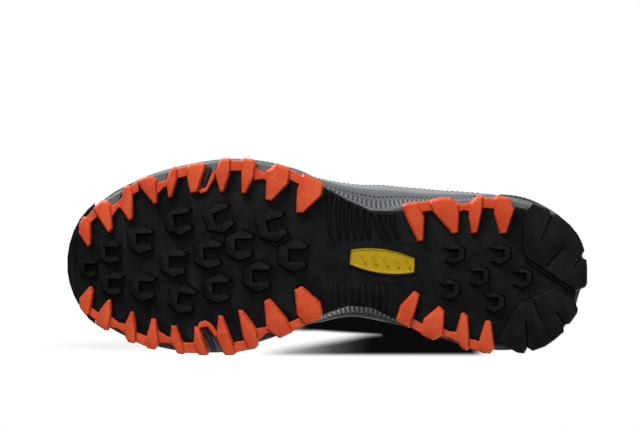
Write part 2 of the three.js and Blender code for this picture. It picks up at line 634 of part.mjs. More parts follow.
// The plate turned up round the toe, in front of the midsole.
function toeBumper() {
  const rise = (y) => (midsoleTop(y) - level(PLATE_TOP)(y) - 1.5) * smooth(patternS(y), 282, 294);
  const outer = midsoleLow.inset(-GAP - BUMPER_WALL);
  const shell = slab([
    { outline: outer.inset(0.8), z: level(LUG_DEPTH) },
    { outline: outer, z: level(LUG_DEPTH + 1.2) },
    { outline: outer, z: (y) => level(PLATE_TOP)(y) + Math.max(0, rise(y)) },
  ]);
  const front = prism(
    [[283, -60], [283, 60], [310, 60], [310, -60]].map(plan),
    [[0, 0], [0, 80]],
  );
  return shell.intersect(front).subtract(midsoleBlock(-GAP - 0.3, GAP, 30)).subtract(wrapRoom);
}

function badge() {
  const face = LUG_DEPTH - 0.8;
  const plate = prism(BADGE.map(plan), [[-0.4, face], [0, face + 0.4], [0, LUG_DEPTH + 1.5]]);
  const bars = BADGE_SLASHES.map((s) => {
    const low = 1.2 - 0.1 * (136 - s); // the row of bars leans with the badge
    const ends = [plan([s, low + BADGE_BAR.height]), plan([s - BADGE_BAR.slant, low])];
    const bar = stripe(ends, BADGE_BAR.width);
    return prism(bar, [[-0.2, face - BADGE_BAR.rise], [0, face + 0.3]]);
  });
  return join([plate, ...bars]);
}

// The shank lies along the middle of the arch; its plan is given as shares of its width.
const SHANK_PLAN = [
  [75, -0.43], [80, -0.57], [180, -0.5], [185, -0.36], [185, 0.5], [180, 0.64], [80, 0.36], [75, 0.21],
];
const SHANK_MIDDLE = 2;
const shankPolygon = SHANK_PLAN.map(([s, share]) => plan([s, SHANK_MIDDLE + share * SHANK_WIDTH]));
const shank = () => prism(shankPolygon, [[0, MIDSOLE_BOTTOM], [0, MIDSOLE_BOTTOM + SHANK_THICKNESS]]);

function midsole() {
  const shankTop = MIDSOLE_BOTTOM + SHANK_THICKNESS;
  const room = prism(shankPolygon, [[GAP, MIDSOLE_BOTTOM - 1], [GAP, shankTop + GAP]]);
  const grooves = wrapRoom.subtract(midsoleBlock(TOOTH_BITE + GAP, GAP, 20));
  const barFace = LUG_DEPTH * 0.6;
  const barStages = [[-0.4, barFace], [0, barFace + 0.8], [0, MIDSOLE_BOTTOM + 1]];
  const bars = slotBars.map((p) => prism(p, barStages, spring));
  return largest(join([midsoleBlock(0, 0, 0), ...bars]).subtract(room).subtract(grooves));
}

const insoleClear =
  FEATHER_INSET + SHELL_THICKNESS + CORE_GAP + STIFFENER_THICKNESS + LAYER_GAP + LINING_THICKNESS;
function footbed(inset, bottom, thickness) {
  const outline = midsoleHigh.inset(inset);
  return slab([
    { outline, z: (y) => midsoleTop(y) + bottom },
    { outline, z: (y) => midsoleTop(y) + bottom + thickness },
  ], 26);
}
const lastingBoard = () => footbed(insoleClear + 0.6, GAP, BOARD_THICKNESS);
const insole = () => footbed(insoleClear + 1.6, 2 * GAP + BOARD_THICKNESS, INSOLE_THICKNESS);

// ======================= Upper =======================

// The boot's middle line swings from the heel towards the big toe side of the ball.
const middleX = (s) => -4 + 8 * smooth(s, 60, 210);

function seamControls(index, side) {
  const [soleS, topS, topX, topZ, lowSwell, lowRise, highSwell, highDrop] = SEAMS[index];
  const feather = midsoleHigh.inset(FEATHER_INSET);
  const y = THREE.MathUtils.clamp(-soleS * LENGTH_SCALE, feather.toeY, feather.heelY);
  const foot = feather.at(side, y);
  const ahead = feather.at(side, y - 1);
  const behind = feather.at(side, y + 1);
  const out = new THREE.Vector2(side * (behind.y - ahead.y), side * (ahead.x - behind.x)).normalize();
  if (index === 0) out.set(0, 1);
  if (index === TOE_STATION) out.set(0, -1);
  const top = plan([topS, 0]);
  top.x = (side * topX + middleX(topS)) * WIDTH_SCALE;
  const bottom = new THREE.Vector3(foot.x, foot.y, midsoleTop(foot.y) + GAP);
  const low = bottom.clone();
  low.add(new THREE.Vector3(out.x * lowSwell, out.y * lowSwell, lowRise * HEIGHT_SCALE));
  const crest = new THREE.Vector3(top.x, top.y, topZ * HEIGHT_SCALE);
  const away = new THREE.Vector2().subVectors(foot, top).normalize();
  const high = crest.clone().add(
    new THREE.Vector3(away.x * highSwell, away.y * highSwell, -highDrop * HEIGHT_SCALE),
  );
  return [bottom, low, high, crest];
}

const seamRows = [];
for (let k = 0; k < STATIONS; k++) {
  const side = k <= TOE_STATION ? 1 : -1;
  seamRows.push(seamControls(Math.min(k, STATIONS - k), side));
}
const controlCurves = [0, 1, 2, 3].map((order) => {
  const knots = seamRows.map((controls) => controls[order]);
  return new THREE.CatmullRomCurve3(knots, true, "centripetal");
});

// The outer face of the upper: w counts stations round the boot, v runs from the sole to the top edge.
function face(w, v) {
  const turn = (((w % STATIONS) + STATIONS) % STATIONS) / STATIONS;
  const [a, b, c, d] = controlCurves.map((curve) => curve.getPoint(turn));
  const u = 1 - v;
  return a
    .multiplyScalar(u ** 3)
    .addScaledVector(b, 3 * u * u * v)
    .addScaledVector(c, 3 * u * v * v)
    .addScaledVector(d, v ** 3);
}

function faceNormal(w, v) {
  const [dw, dv] = [0.02, 0.01];
  const across = face(w + dw, v).sub(face(w - dw, v));
  const up = face(w, v + dv).sub(face(w, v - dv));
  return up.cross(across).normalize();
}

const offFace = (w, v, height) => face(w, v).addScaledVector(faceNormal(w, v), height);
const mirrored = (w) => STATIONS - w;
const valueAt = (bound, w) => (typeof bound === "function" ? bound(w) : bound);

// A layer of the upper between two stations and two heights, inner to outer above the face.
function panel({ from, to, low, high, inner, outer, columns, rows }) {
  const at = (height) => (i, j) => {
    const w = THREE.MathUtils.lerp(from, to, i);
    return offFace(w, THREE.MathUtils.lerp(valueAt(low, w), valueAt(high, w), j), height);
  };
  return thickSheet(at(outer), at(inner), columns, rows);
}

const SHELL = { inner: -SHELL_THICKNESS, outer: 0 };
const OVERLAY = { inner: LAYER_GAP, outer: LAYER_GAP + OVERLAY_THICKNESS };
const STIFFENER = {
  inner: -SHELL_THICKNESS - CORE_GAP - STIFFENER_THICKNESS,
  outer: -SHELL_THICKNESS - CORE_GAP,
};
const LINING = { inner: STIFFENER.inner - LAYER_GAP - LINING_THICKNESS, outer: STIFFENER.inner - LAYER_GAP };
const COLLAR = { inner: -SHELL_THICKNESS - CORE_GAP - COLLAR_THICKNESS, outer: -SHELL_THICKNESS - CORE_GAP };

const OVERLAY_FOOT = 0.02; // overlays start this far up, clear of the midsole's lip
const strapLow = (w) => 0.45 + 0.08 * (w - 1);

// Panels that cross the middle line.
const CENTRE_PANELS = {
  vamp: [GREY_MESH, { from: 9.2, to: 16.8, low: 0, high: 1, ...SHELL, columns: 16, rows: 8 }],
  backstay: [BLACK_OVERLAY, { from: -1.5, to: 1.5, low: 0, high: 1, ...SHELL, columns: 8, rows: 8 }],
  toe_bumper: [
    BLACK_OVERLAY,
    { from: 10.4, to: 15.6, low: OVERLAY_FOOT, high: 0.36, ...OVERLAY, columns: 16, rows: 4 },
  ],
  heel_counter: [
    BLACK_OVERLAY,
    { from: -2.6, to: 2.6, low: OVERLAY_FOOT, high: 0.42, ...OVERLAY, columns: 16, rows: 4 },
  ],
  toe_puff: [
    STIFF_BOARD,
    { from: 10.625, to: 15.375, low: 0.125, high: 0.5, ...STIFFENER, columns: 10, rows: 3 },
  ],
  heel_stiffener: [
    STIFF_BOARD,
    { from: -3, to: 3, low: 0.05, high: 0.5, ...STIFFENER, columns: 16, rows: 3 },
  ],
  lining: [BLACK_LINING, { from: -9.1, to: 9.1, low: 0.05, high: 0.78, ...LINING, columns: 28, rows: 5 }],
  collar: [BLACK_LINING, { from: -4.7, to: 4.7, low: 0.8, high: 1.03, ...COLLAR, columns: 22, rows: 2 }],
};
const STRAP = { low: 0.2, high: 0.78, ...OVERLAY, columns: 3, rows: 6 };
// Panels made once for each side, given for the lateral one.
const SIDE_PANELS = {
  quarter: [GREY_MESH, { from: 1.5 + SEAM, to: 9.2 - SEAM, low: 0, high: 1, ...SHELL, columns: 14, rows: 8 }],
  mudguard: [
    BLACK_OVERLAY,
    { from: 2.6 + SEAM, to: 10.4 - SEAM, low: OVERLAY_FOOT, high: 0.18, ...OVERLAY, columns: 20, rows: 2 },
  ],
  eyestay: [CHARCOAL_SUEDE, { from: 4.75, to: 9.8, low: 0.8, high: 1, ...OVERLAY, columns: 16, rows: 2 }],
  ankle_strap: [
    CHARCOAL_SUEDE,
    { from: 1.2, to: 4.6, low: strapLow, high: (w) => strapLow(w) + 0.16, ...OVERLAY, columns: 10, rows: 2 },
  ],
  front_strap: [CHARCOAL_SUEDE, { from: 7.4, to: 8.1, ...STRAP }],
  rear_strap: [CHARCOAL_SUEDE, { from: 5.6, to: 6.3, ...STRAP }],
};

// ---- Tongue ----
const tongueDepth = SHELL_THICKNESS + CORE_GAP;
const tongueCrown = (w) => THREE.MathUtils.lerp(6, -3, smooth(w, 8, 11));
function tongueRib(w) {
  const edge = (station, v) => offFace(station, v, -tongueDepth);
  const left = edge(mirrored(w), 1);
  const right = edge(w, 1);
  const middle = left.clone().add(right).multiplyScalar(0.5);
  const up = faceNormal(w, 1).add(faceNormal(mirrored(w), 1)).normalize();
  middle.addScaledVector(up, tongueCrown(w));
  const medial = [edge(mirrored(w), 0.86), edge(mirrored(w), 0.93), left];
  const lateral = [right, edge(w, 0.93), edge(w, 0.86)];
  return new THREE.CatmullRomCurve3([...medial, middle, ...lateral], false, "centripetal");
}
const TONGUE_LOW = 12.2;
const TONGUE_HIGH = 5.2;
const tongueTopLean = new THREE.Vector3(0, 13, TONGUE_RISE);
// a runs across the tongue from medial to lateral and b from the toe end to the collar.
function tonguePoint(a, b) {
  return tongueRib(THREE.MathUtils.lerp(TONGUE_LOW, TONGUE_HIGH, b)).getPoint(a);
}
function normalOfPatch(point, a, b) {
  const step = 0.01;
  const across = point(Math.min(1, a + step), b).sub(point(Math.max(0, a - step), b));
  const up = point(a, Math.min(1, b + step)).sub(point(a, Math.max(0, b - step)));
  return across.cross(up).normalize();
}
function padded(point, thickness, columns, rows) {
  const inner = (a, b) => point(a, b).addScaledVector(normalOfPatch(point, a, b), -thickness);
  return thickSheet(point, inner, columns, rows);
}
const tongue = () => padded(tonguePoint, TONGUE_THICKNESS, 8, 11);
const tongueTopPoint = (a, b) => {
  const reach = THREE.MathUtils.lerp(0.35, 0.65, a);
  const foot = tonguePoint(reach, 1);
  const widen = 1 + 0.25 * b;
  const centre = tonguePoint(0.5, 1);
  foot.x = centre.x + (foot.x - centre.x) * widen;
  return foot.addScaledVector(tongueTopLean, (HINGE_GAP / TONGUE_RISE) + b);
};
const tongueTop = () => padded(tongueTopPoint, TONGUE_THICKNESS, 6, 3);

// ---- Lace fittings ----
const laceHeight = OVERLAY.outer + GAP + FITTING_WALL + GAP + LACE_RADIUS;
function fittingFrame(w) {
  const lateral = w < TOE_STATION;
  const point = face(w, LACE_LINE);
  const normal = faceNormal(w, LACE_LINE);
  const up = face(w + (lateral ? -0.05 : 0.05), LACE_LINE).sub(point).normalize();
  const outward = new THREE.Vector3().crossVectors(up, normal).multiplyScalar(lateral ? 1 : -1);
  return { point, normal, up, outward };
}

// A ring or an open hook standing on the eyestay, its bore along the edge of the throat.
function fitting(w, open) {
  const { point, normal, outward } = fittingFrame(w);
  const bottom = OVERLAY.outer + GAP;
  const bore = LACE_RADIUS + GAP;
  const half = bore + 0.8;
  const roof = bottom + FITTING_WALL + 2 * bore;
  const shape = new THREE.Shape();
  const wall = FITTING_WALL;
  if (open) {
    shape.setFromPoints([
      [half + wall, bottom], [-half - wall, bottom], [-half - wall, roof + wall], [half - 0.4, roof + wall],
      [half + 0.6, roof - 0.6], [half - 0.4, roof - 0.6], [half - 0.9, roof], [-half, roof],
      [-half, bottom + wall], [half + wall, bottom + wall],
    ].map(([x, y]) => new THREE.Vector2(x, y)));
  } else {
    const corner = 1.4;
    shape.setFromPoints([
      [-half - wall, bottom], [half + wall, bottom], [half + wall, roof + wall - corner],
      [half + wall - corner, roof + wall], [-half - wall + corner, roof + wall],
      [-half - wall, roof + wall - corner],
    ].map(([x, y]) => new THREE.Vector2(x, y)));
    const hole = new THREE.Path();
    hole.setFromPoints([
      [-half, bottom + wall], [-half, roof - 0.7], [-half + 0.7, roof],
      [half - 0.7, roof], [half, roof - 0.7], [half, bottom + wall],
    ].map(([x, y]) => new THREE.Vector2(x, y)));
    shape.holes.push(hole);
  }
  const geometry = new THREE.ExtrudeGeometry(shape, { depth: FITTING_LENGTH, bevelEnabled: false });
  geometry.translate(0, 0, -FITTING_LENGTH / 2);
  const axis = new THREE.Vector3().crossVectors(outward, normal);
  geometry.applyMatrix4(new THREE.Matrix4().makeBasis(outward, normal, axis).setPosition(point));
  return solidOf(geometry);
}

// ---- Lace ----
const overTongue = (w, clear) => {
  const b = (TONGUE_LOW - w) / (TONGUE_LOW - TONGUE_HIGH);
  return tonguePoint(0.5, b).addScaledVector(normalOfPatch(tonguePoint, 0.5, b), clear);
};
const KNOT_STATION = LACE_ROWS.at(-1) - 0.02;
const KNOT_RADIUS = 2.3 * LACE_RADIUS;
const knotCentre = overTongue(KNOT_STATION, KNOT_RADIUS + GAP + 0.4);

// Where a lace runs over the eyestay's edge.
const overEdge = (w, side) => offFace(side > 0 ? w : mirrored(w), 1, OVERLAY.outer + LACE_RADIUS + 0.7);
// The lace runs straight through a fitting, then leans in to the throat once it is clear of it.
const BORE_RUN = FITTING_LENGTH / 2 + 0.2;
const LEAN_RUN = FITTING_LENGTH / 2 + 1.58 * LACE_RADIUS;
const LEAN_IN = 1.26 * LACE_RADIUS;

// One half of the lace, from the bottom row up to the knot; start is +1 when it begins on the lateral side.
function laceHalf(start) {
  const points = [];
  LACE_ROWS.forEach((row, i) => {
    const side = start * (i % 2 ? -1 : 1);
    const { point, normal, up, outward } = fittingFrame(side > 0 ? row : mirrored(row));
    point.addScaledVector(normal, laceHeight);
    const at = (along, away) => point.clone().addScaledVector(up, along).addScaledVector(outward, away);
    const last = LACE_ROWS[i - 1];
    if (i > 0) {
      const crossing = LACE_RADIUS + 1.4 + (start > 0 ? 0 : 2 * LACE_RADIUS + 0.8);
      points.push(overEdge(THREE.MathUtils.lerp(last, row, 0.3), -side));
      points.push(overTongue((row + last) / 2, crossing));
      points.push(overEdge(THREE.MathUtils.lerp(last, row, 0.7), side));
    }
    points.push(at(-LEAN_RUN, -LEAN_IN), at(-BORE_RUN, 0), at(BORE_RUN, 0), at(LEAN_RUN, -LEAN_IN));
    if (i === LACE_ROWS.length - 1) points.push(overEdge(row - 0.16, side));
  });
  return points;
}
function lace() {
  const bar = overTongue(LACE_ROWS[0] + 0.22, LACE_RADIUS + 1);
  const halves = [laceHalf(1), laceHalf(-1)];
  const entry = halves.map((half) => {
    const towards = half.at(-1).clone().sub(knotCentre);
    return knotCentre.clone().add(towards.setLength(KNOT_RADIUS + GAP + LACE_RADIUS * 0.4));
  });
  const path = [entry[0], ...halves[0].reverse(), bar, ...halves[1], entry[1]];
  return cordAlong(path, LACE_RADIUS);
}
function laceKnot() {
  const geometry = new THREE.SphereGeometry(KNOT_RADIUS, 12, 8);
  geometry.scale(1.25, 1, 0.9);
  geometry.translate(knotCentre.x, knotCentre.y, knotCentre.z);
  return solidOf(geometry);
}

// ---- Pull tab: a webbing loop behind the top of the heel ----
const tabFoot = offFace(0, 0.86, OVERLAY.outer - LAYER_GAP);
function pullTab() {
  const rounded = (depth, height, shrink) => {
    const r = depth / 2 - shrink;
    const points = [];
    for (let k = 0; k <= 6; k++) {
      const angle = (Math.PI * k) / 6;
      const [across, up] = [r * Math.cos(angle), r * Math.sin(angle)];
      points.push(new THREE.Vector2(depth / 2 + across, height - depth / 2 + up));
    }
    points.push(new THREE.Vector2(shrink, shrink), new THREE.Vector2(depth - shrink, shrink));
    return points;
  };
  const shape = new THREE.Shape(rounded(TAB_DEPTH, TAB_HEIGHT, 0));
  shape.holes.push(new THREE.Path(rounded(TAB_DEPTH, TAB_HEIGHT, TAB_WALL)));
  const geometry = new THREE.ExtrudeGeometry(shape, { depth: TAB_WIDTH, bevelEnabled: false });
  geometry.translate(0, 0, -TAB_WIDTH / 2);
  const basis = new THREE.Matrix4().makeBasis(
    new THREE.Vector3(0, 1, 0), new THREE.Vector3(0, 0, 1), new THREE.Vector3(1, 0, 0),
  );
  geometry.applyMatrix4(basis.setPosition(tabFoot.x, tabFoot.y + GAP, tabFoot.z));
  return solidOf(geometry);
}

// ======================= Assembly =======================

const boot = new THREE.Group();
function add(name, solid, look) {
  const mesh = new THREE.Mesh(geometryOf(solid), new THREE.MeshStandardMaterial({ ...look, name }));
  mesh.name = name;
  boot.add(mesh);
}

add("outsole", outsole(), BLACK_RUBBER);
for (const [name, shapes] of Object.entries(bandPlans)) add(name, lugBand(shapes), ORANGE_RUBBER);
add("sole_badge", badge(), YELLOW_BADGE);
add("midsole", midsole(), GREY_FOAM);
add("shank", shank(), NYLON);
add("lasting_board", lastingBoard(), STIFF_BOARD);
add("insole", insole(), BLACK_LINING);
for (const [name, [look, shape]] of Object.entries(CENTRE_PANELS)) add(name, panel(shape), look);
for (const [name, [look, shape]] of Object.entries(SIDE_PANELS)) {
  add(name + "_lateral", panel(shape), look);
  const opposite = {
    ...shape,
    from: mirrored(shape.to),
    to: mirrored(shape.from),
    low: (w) => valueAt(shape.low, mirrored(w)),
    high: (w) => valueAt(shape.high, mirrored(w)),
  };
  add(name + "_medial", panel(opposite), look);
}
add("tongue", tongue(), CHARCOAL_SUEDE);
add("tongue_top", tongueTop(), CHARCOAL_SUEDE);
LACE_ROWS.forEach((row, i) => {
  const open = i >= FIRST_HOOK_ROW;
  const kind = open ? "lace_hook" : "lace_ring";
  const number = open ? i - FIRST_HOOK_ROW + 1 : i + 1;
  add(kind + "_lateral_" + number, fitting(row, open), GUNMETAL);
  add(kind + "_medial_" + number, fitting(mirrored(row), open), GUNMETAL);
});
add("lace", lace(), LACE);
add("lace_knot", laceKnot(), LACE);
add("pull_tab", pullTab(), ACCENT);

// The origin is under the middle of the boot, on the ground.
const box = new THREE.Box3().setFromObject(boot);
const centre = box.getCenter(new THREE.Vector3());
boot.position.set(-centre.x, -centre.y, 0);

const root = new THREE.Group();
root.add(boot);
export default root;
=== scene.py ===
"""Looks of a left hiking boot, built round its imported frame.

Shapes are worked out in the boot's pattern coordinates, in millimetres: x is positive on the lateral
side, y is minus the distance forward from the back of the heel, and z is the height above the ground.
to_world() turns them into metres in the frame.
"""

import math

import bmesh
import bpy
import numpy as np
from mathutils import Matrix, Vector


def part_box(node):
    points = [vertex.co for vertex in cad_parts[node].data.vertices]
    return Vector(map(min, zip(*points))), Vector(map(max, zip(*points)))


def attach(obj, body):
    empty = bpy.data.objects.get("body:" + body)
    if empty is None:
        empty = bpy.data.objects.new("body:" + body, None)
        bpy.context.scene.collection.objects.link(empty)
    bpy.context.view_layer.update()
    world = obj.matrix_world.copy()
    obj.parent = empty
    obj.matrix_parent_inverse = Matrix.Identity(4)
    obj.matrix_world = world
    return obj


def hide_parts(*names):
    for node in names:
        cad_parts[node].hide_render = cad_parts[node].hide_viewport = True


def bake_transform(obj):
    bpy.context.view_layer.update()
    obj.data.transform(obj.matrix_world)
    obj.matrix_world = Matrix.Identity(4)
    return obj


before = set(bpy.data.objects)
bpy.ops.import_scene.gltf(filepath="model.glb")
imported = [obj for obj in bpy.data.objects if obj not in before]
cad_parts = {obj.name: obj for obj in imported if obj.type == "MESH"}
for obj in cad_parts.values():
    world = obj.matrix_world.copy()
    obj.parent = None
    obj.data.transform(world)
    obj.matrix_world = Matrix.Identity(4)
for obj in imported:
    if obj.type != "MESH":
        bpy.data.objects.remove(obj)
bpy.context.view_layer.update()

MM = 0.001

# The badge ties the pattern to the frame: its toe end and its medial side.
BADGE_FRONT = 136.2
BADGE_MEDIAL = -4.4
badge_low, badge_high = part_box("sole_badge")
SHIFT = np.array([badge_low[0] / MM - BADGE_MEDIAL, badge_low[1] / MM + BADGE_FRONT, 0.0])


def to_world(points):
    """Pattern millimetres to frame metres."""
    return (np.asarray(points, dtype=float) + SHIFT) * MM


def smoothstep(value, low, high):
    """0 up to low, 1 from high on, and a smooth cubic between them."""
    share = np.clip((value - low) / (high - low), 0.0, 1.0)
    return share * share * (3.0 - 2.0 * share)


# ---------------------------------------------------------------- camera, stage and light

VIEW_WIDTH = 0.3657  # width of the sole plane that the view takes in
VIEW_CENTRE = (0.0254, -0.0040, 0.0)
CAMERA_DISTANCE = 1.7
CAMERA_LIFT = math.radians(4.0)  # the camera looks slightly down on the boot as it lies on its side
SENSOR = 36.0  # millimetres


def make_camera():
    """Looks at the tread along +Z, with the lateral side up and the toe to the left."""
    data = bpy.data.cameras.new("camera")
    data.sensor_width = SENSOR
    data.lens = SENSOR * CAMERA_DISTANCE / VIEW_WIDTH
    camera = bpy.data.objects.new("camera", data)
    bpy.context.collection.objects.link(camera)
    back = Vector((math.sin(CAMERA_LIFT), 0.0, -math.cos(CAMERA_LIFT)))
    right = Vector((0.0, 1.0, 0.0))
    turn = Matrix((right, back.cross(right), back)).transposed()
    place = Vector(VIEW_CENTRE) + back * CAMERA_DISTANCE
    camera.matrix_world = Matrix.Translation(place) @ turn.to_4x4()
    bpy.context.scene.camera = camera


def one_sided(name, colour, emission=0.0, cover=None):
    """A matt surface that is seen only from its front; cover names the attribute that says how far it hides
    what is behind it."""
    material = bpy.data.materials.new(name)
    material.use_nodes = True
    nodes, links = material.node_tree.nodes, material.node_tree.links
    nodes.clear()
    out = nodes.new("ShaderNodeOutputMaterial")
    mix = nodes.new("ShaderNodeMixShader")
    clear = nodes.new("ShaderNodeBsdfTransparent")
    matt = nodes.new("ShaderNodeBsdfPrincipled")
    matt.inputs["Base Color"].default_value = (*colour, 1.0)
    matt.inputs["Roughness"].default_value = 0.9
    matt.inputs["Specular IOR Level"].default_value = 0.0
    matt.inputs["Emission Color"].default_value = (1.0, 1.0, 1.0, 1.0)
    matt.inputs["Emission Strength"].default_value = emission
    front = nodes.new("ShaderNodeMath")
    front.operation = "SUBTRACT"
    front.inputs[0].default_value = 1.0
    links.new(nodes.new("ShaderNodeNewGeometry").outputs["Backfacing"], front.inputs[1])
    shown = front.outputs[0]
    if cover:
        share = nodes.new("ShaderNodeAttribute")
        share.attribute_name = cover
        both = nodes.new("ShaderNodeMath")
        both.operation = "MULTIPLY"
        links.new(shown, both.inputs[0])
        links.new(share.outputs["Fac"], both.inputs[1])
        shown = both.outputs[0]
    links.new(shown, mix.inputs["Fac"])
    links.new(clear.outputs["BSDF"], mix.inputs[1])
    links.new(matt.outputs["BSDF"], mix.inputs[2])
    links.new(mix.outputs["Shader"], out.inputs["Surface"])
    return material


def card(name, corners, faces, material, cover=None):
    """A flat stage piece in metres; its front is where the faces run anticlockwise."""
    mesh = bpy.data.meshes.new(name)
    mesh.from_pydata(corners, [], faces)
    mesh.materials.append(material)
    if cover is not None:
        mesh.attributes.new("cover", "FLOAT", "POINT").data.foreach_set("value", cover)
    thing = bpy.data.objects.new(name, mesh)
    bpy.context.collection.objects.link(thing)
    thing.visible_diffuse = False
    thing.visible_glossy = False
    thing.visible_shadow = False
    thing.visible_transmission = False


def area_light(name, place, size, power):
    """A soft box that faces the boot."""
    data = bpy.data.lights.new(name, "AREA")
    data.shape = "RECTANGLE"
    data.size, data.size_y = size
    data.energy = power
    light = bpy.data.objects.new(name, data)
    bpy.context.collection.objects.link(light)
    light.location = place
    light.rotation_euler = (Vector(LIGHT_TARGET) - Vector(place)).to_track_quat("-Z", "Y").to_euler()


def grid_of(first, second, point):
    """Points and faces of a flat grid over two ranges; point gives the three coordinates from both."""
    a, b = np.meshgrid(first, second, indexing="ij")
    points = np.stack(np.broadcast_arrays(*point(a, b)), axis=-1)
    number = np.arange(a.size).reshape(a.shape)
    faces = np.stack([number[:-1, :-1], number[1:, :-1], number[1:, 1:], number[:-1, 1:]], axis=-1)
    return a, b, points.reshape(-1, 3), faces.reshape(-1, 4).tolist()


GROUND_DROP = 0.0002  # how far the ground lies under the lugs, in metres
GROUND_REACH = 0.8
GROUND_FADE = (0.26, 0.72)


def make_ground():
    """The ground that the boot stands on, which thins out all round."""
    across = np.linspace(-GROUND_REACH, GROUND_REACH, 65)
    x, y, points, faces = grid_of(across, across, lambda a, b: (a, b, -GROUND_DROP))
    cover = 1.0 - smoothstep(np.hypot(x, y), *GROUND_FADE)
    white = one_sided("ground_white", (0.86, 0.86, 0.865), 0.3, "cover")
    card("ground", points.tolist(), faces, white, cover.ravel())


# The shade as rows of [distance forward, value] in pattern millimetres: the lower edge of the dark that
# hugs the upper, the upper edge of the shade that lies on the floor, and how much that one hides.
SHADE_HEIGHT = 100.0
UPPER_SHADE_EDGE = [[117, -38.8], [155, -36.2]]
FLOOR_SHADE_TOP = [[112, -30], [118, -37.5], [126, -38.6], [142, -42], [159, -44.9], [172, -47], [186, -49.5]]
FLOOR_SHADE_COVER = [[122, 1], [134, 0.98], [146, 0.93], [159, 0.8], [172, 0.6], [190, 0]]
FLOOR_SHADE_FOOT = (-51.5, -48.8)
SHADE_HEEL_END = (56.0, 66.0)
SHADE_TOE_END = (160.0, 184.0)
TOE_SHADE = 0.13
MOST_COVER = 0.997


def read_rows(rows, s):
    """Values at s between rows of [place, value]."""
    places, values = np.transpose(rows)
    return np.interp(s, places, values)


def make_shade():
    """The shade in the gap beneath the boot's arch when it lies on its medial side, and a faint one that
    goes on below the toe. It is on a card in front of the boot that faces the tread, so it is seen from
    that side alone; the card is spread and lowered to cover the gap in the camera's view."""
    x, s, points, faces = grid_of(
        np.linspace(-62.0, -24.0, 64), np.linspace(40.0, 340.0, 161), lambda a, b: (a, -b, SHADE_HEIGHT)
    )
    edge = read_rows(UPPER_SHADE_EDGE, s)
    under_upper = smoothstep(x, edge - 1.0, edge + 1.0) * (1.0 - smoothstep(s, *SHADE_TOE_END))
    top = read_rows(FLOOR_SHADE_TOP, s)
    below = 1.0 - smoothstep(x, top - 2.5, top + 3.5)
    on_floor = read_rows(FLOOR_SHADE_COVER, s) * smoothstep(x, *FLOOR_SHADE_FOOT) * below
    under_toe = TOE_SHADE * (1.0 - smoothstep(np.hypot((s - 268.0) / 52.0, (x + 45.0) / 4.5), 0.0, 1.0))
    cover = np.maximum(under_upper, on_floor) * smoothstep(s, *SHADE_HEEL_END) + under_toe
    centre = np.array(VIEW_CENTRE)
    spread = 1.0 + SHADE_HEIGHT * MM / CAMERA_DISTANCE
    points = centre + (to_world(points) - centre) * np.array([spread, spread, 1.0])
    points[:, 0] -= math.sin(CAMERA_LIFT) * SHADE_HEIGHT * MM
    dark = one_sided("shade_dark", (0.0012, 0.0012, 0.0012), 0.0, "cover")
    card("shade", points.tolist(), faces, dark, np.clip(cover, 0.0, MOST_COVER).ravel())


# Soft boxes as (name, place, size, watts), all turned to the boot.
LIGHTS = [
    ("tread_key", (1.0, -0.45, -0.7), (0.7, 0.5), 15.0),
    ("tread_fill", (0.6, 0.3, -1.3), (0.9, 0.9), 5.0),
    ("top_key", (0.7, -0.6, 1.2), (0.8, 0.8), 18.0),
    ("back_fill", (-0.8, 0.8, 1.1), (0.9, 0.9), 18.0),
    ("side_fill", (1.2, 0.5, 0.25), (0.8, 0.8), 4.0),
]
LIGHT_TARGET = (0.0, 0.0, 0.03)
ROOM_COLOUR = (0.93, 0.96, 1.0, 1.0)
ROOM_STRENGTH = 0.2


def make_light():
    """Soft boxes over the lying boot's tread and over the standing boot, in an even room that is white to
    the camera and dimmer as a light."""
    world = bpy.data.worlds.new("studio")
    bpy.context.scene.world = world
    world.use_nodes = True
    nodes, links = world.node_tree.nodes, world.node_tree.links
    nodes.clear()
    out = nodes.new("ShaderNodeOutputWorld")
    mix = nodes.new("ShaderNodeMixShader")
    path = nodes.new("ShaderNodeLightPath")
    room = nodes.new("ShaderNodeBackground")
    room.inputs["Color"].default_value = ROOM_COLOUR
    room.inputs["Strength"].default_value = ROOM_STRENGTH
    seen = nodes.new("ShaderNodeBackground")
    seen.inputs["Color"].default_value = (1.0, 1.0, 1.0, 1.0)
    seen.inputs["Strength"].default_value = 1.0
    links.new(path.outputs["Is Camera Ray"], mix.inputs["Fac"])
    links.new(room.outputs["Background"], mix.inputs[1])
    links.new(seen.outputs["Background"], mix.inputs[2])
    links.new(mix.outputs["Shader"], out.inputs["Surface"])
    for name, place, size, power in LIGHTS:
        area_light(name, place, size, power)


# ---------------------------------------------------------------- shared effects of the materials

OBJECT, UV = "Object", "UV"


def new_group(name, inputs, outputs):
    """An empty shader group with named sockets. Each is (name, kind, default)."""
    group = bpy.data.node_groups.new(name, "ShaderNodeTree")
    for label, kind, value in inputs:
        socket = group.interface.new_socket(label, in_out="INPUT", socket_type="NodeSocket" + kind)
        if value is not None:
            socket.default_value = value
    for label, kind in outputs:
        group.interface.new_socket(label, in_out="OUTPUT", socket_type="NodeSocket" + kind)
    group.nodes.new("NodeGroupInput")
    group.nodes.new("NodeGroupOutput")
    return group


def node(tree, kind, values=None, **settings):
    """Adds a node; values sets its input sockets, each from a number, a colour or another node's socket."""
    made = tree.nodes.new("ShaderNode" + kind)
    for key, value in settings.items():
        setattr(made, key, value)
    for key, value in (values or {}).items():
        if isinstance(value, bpy.types.NodeSocket):
            tree.links.new(value, made.inputs[key])
        else:
            made.inputs[key].default_value = value
    return made


def math_of(tree, operation, *values):
    """A math node's result from numbers or sockets."""
    return node(tree, "Math", dict(enumerate(values)), operation=operation).outputs[0]


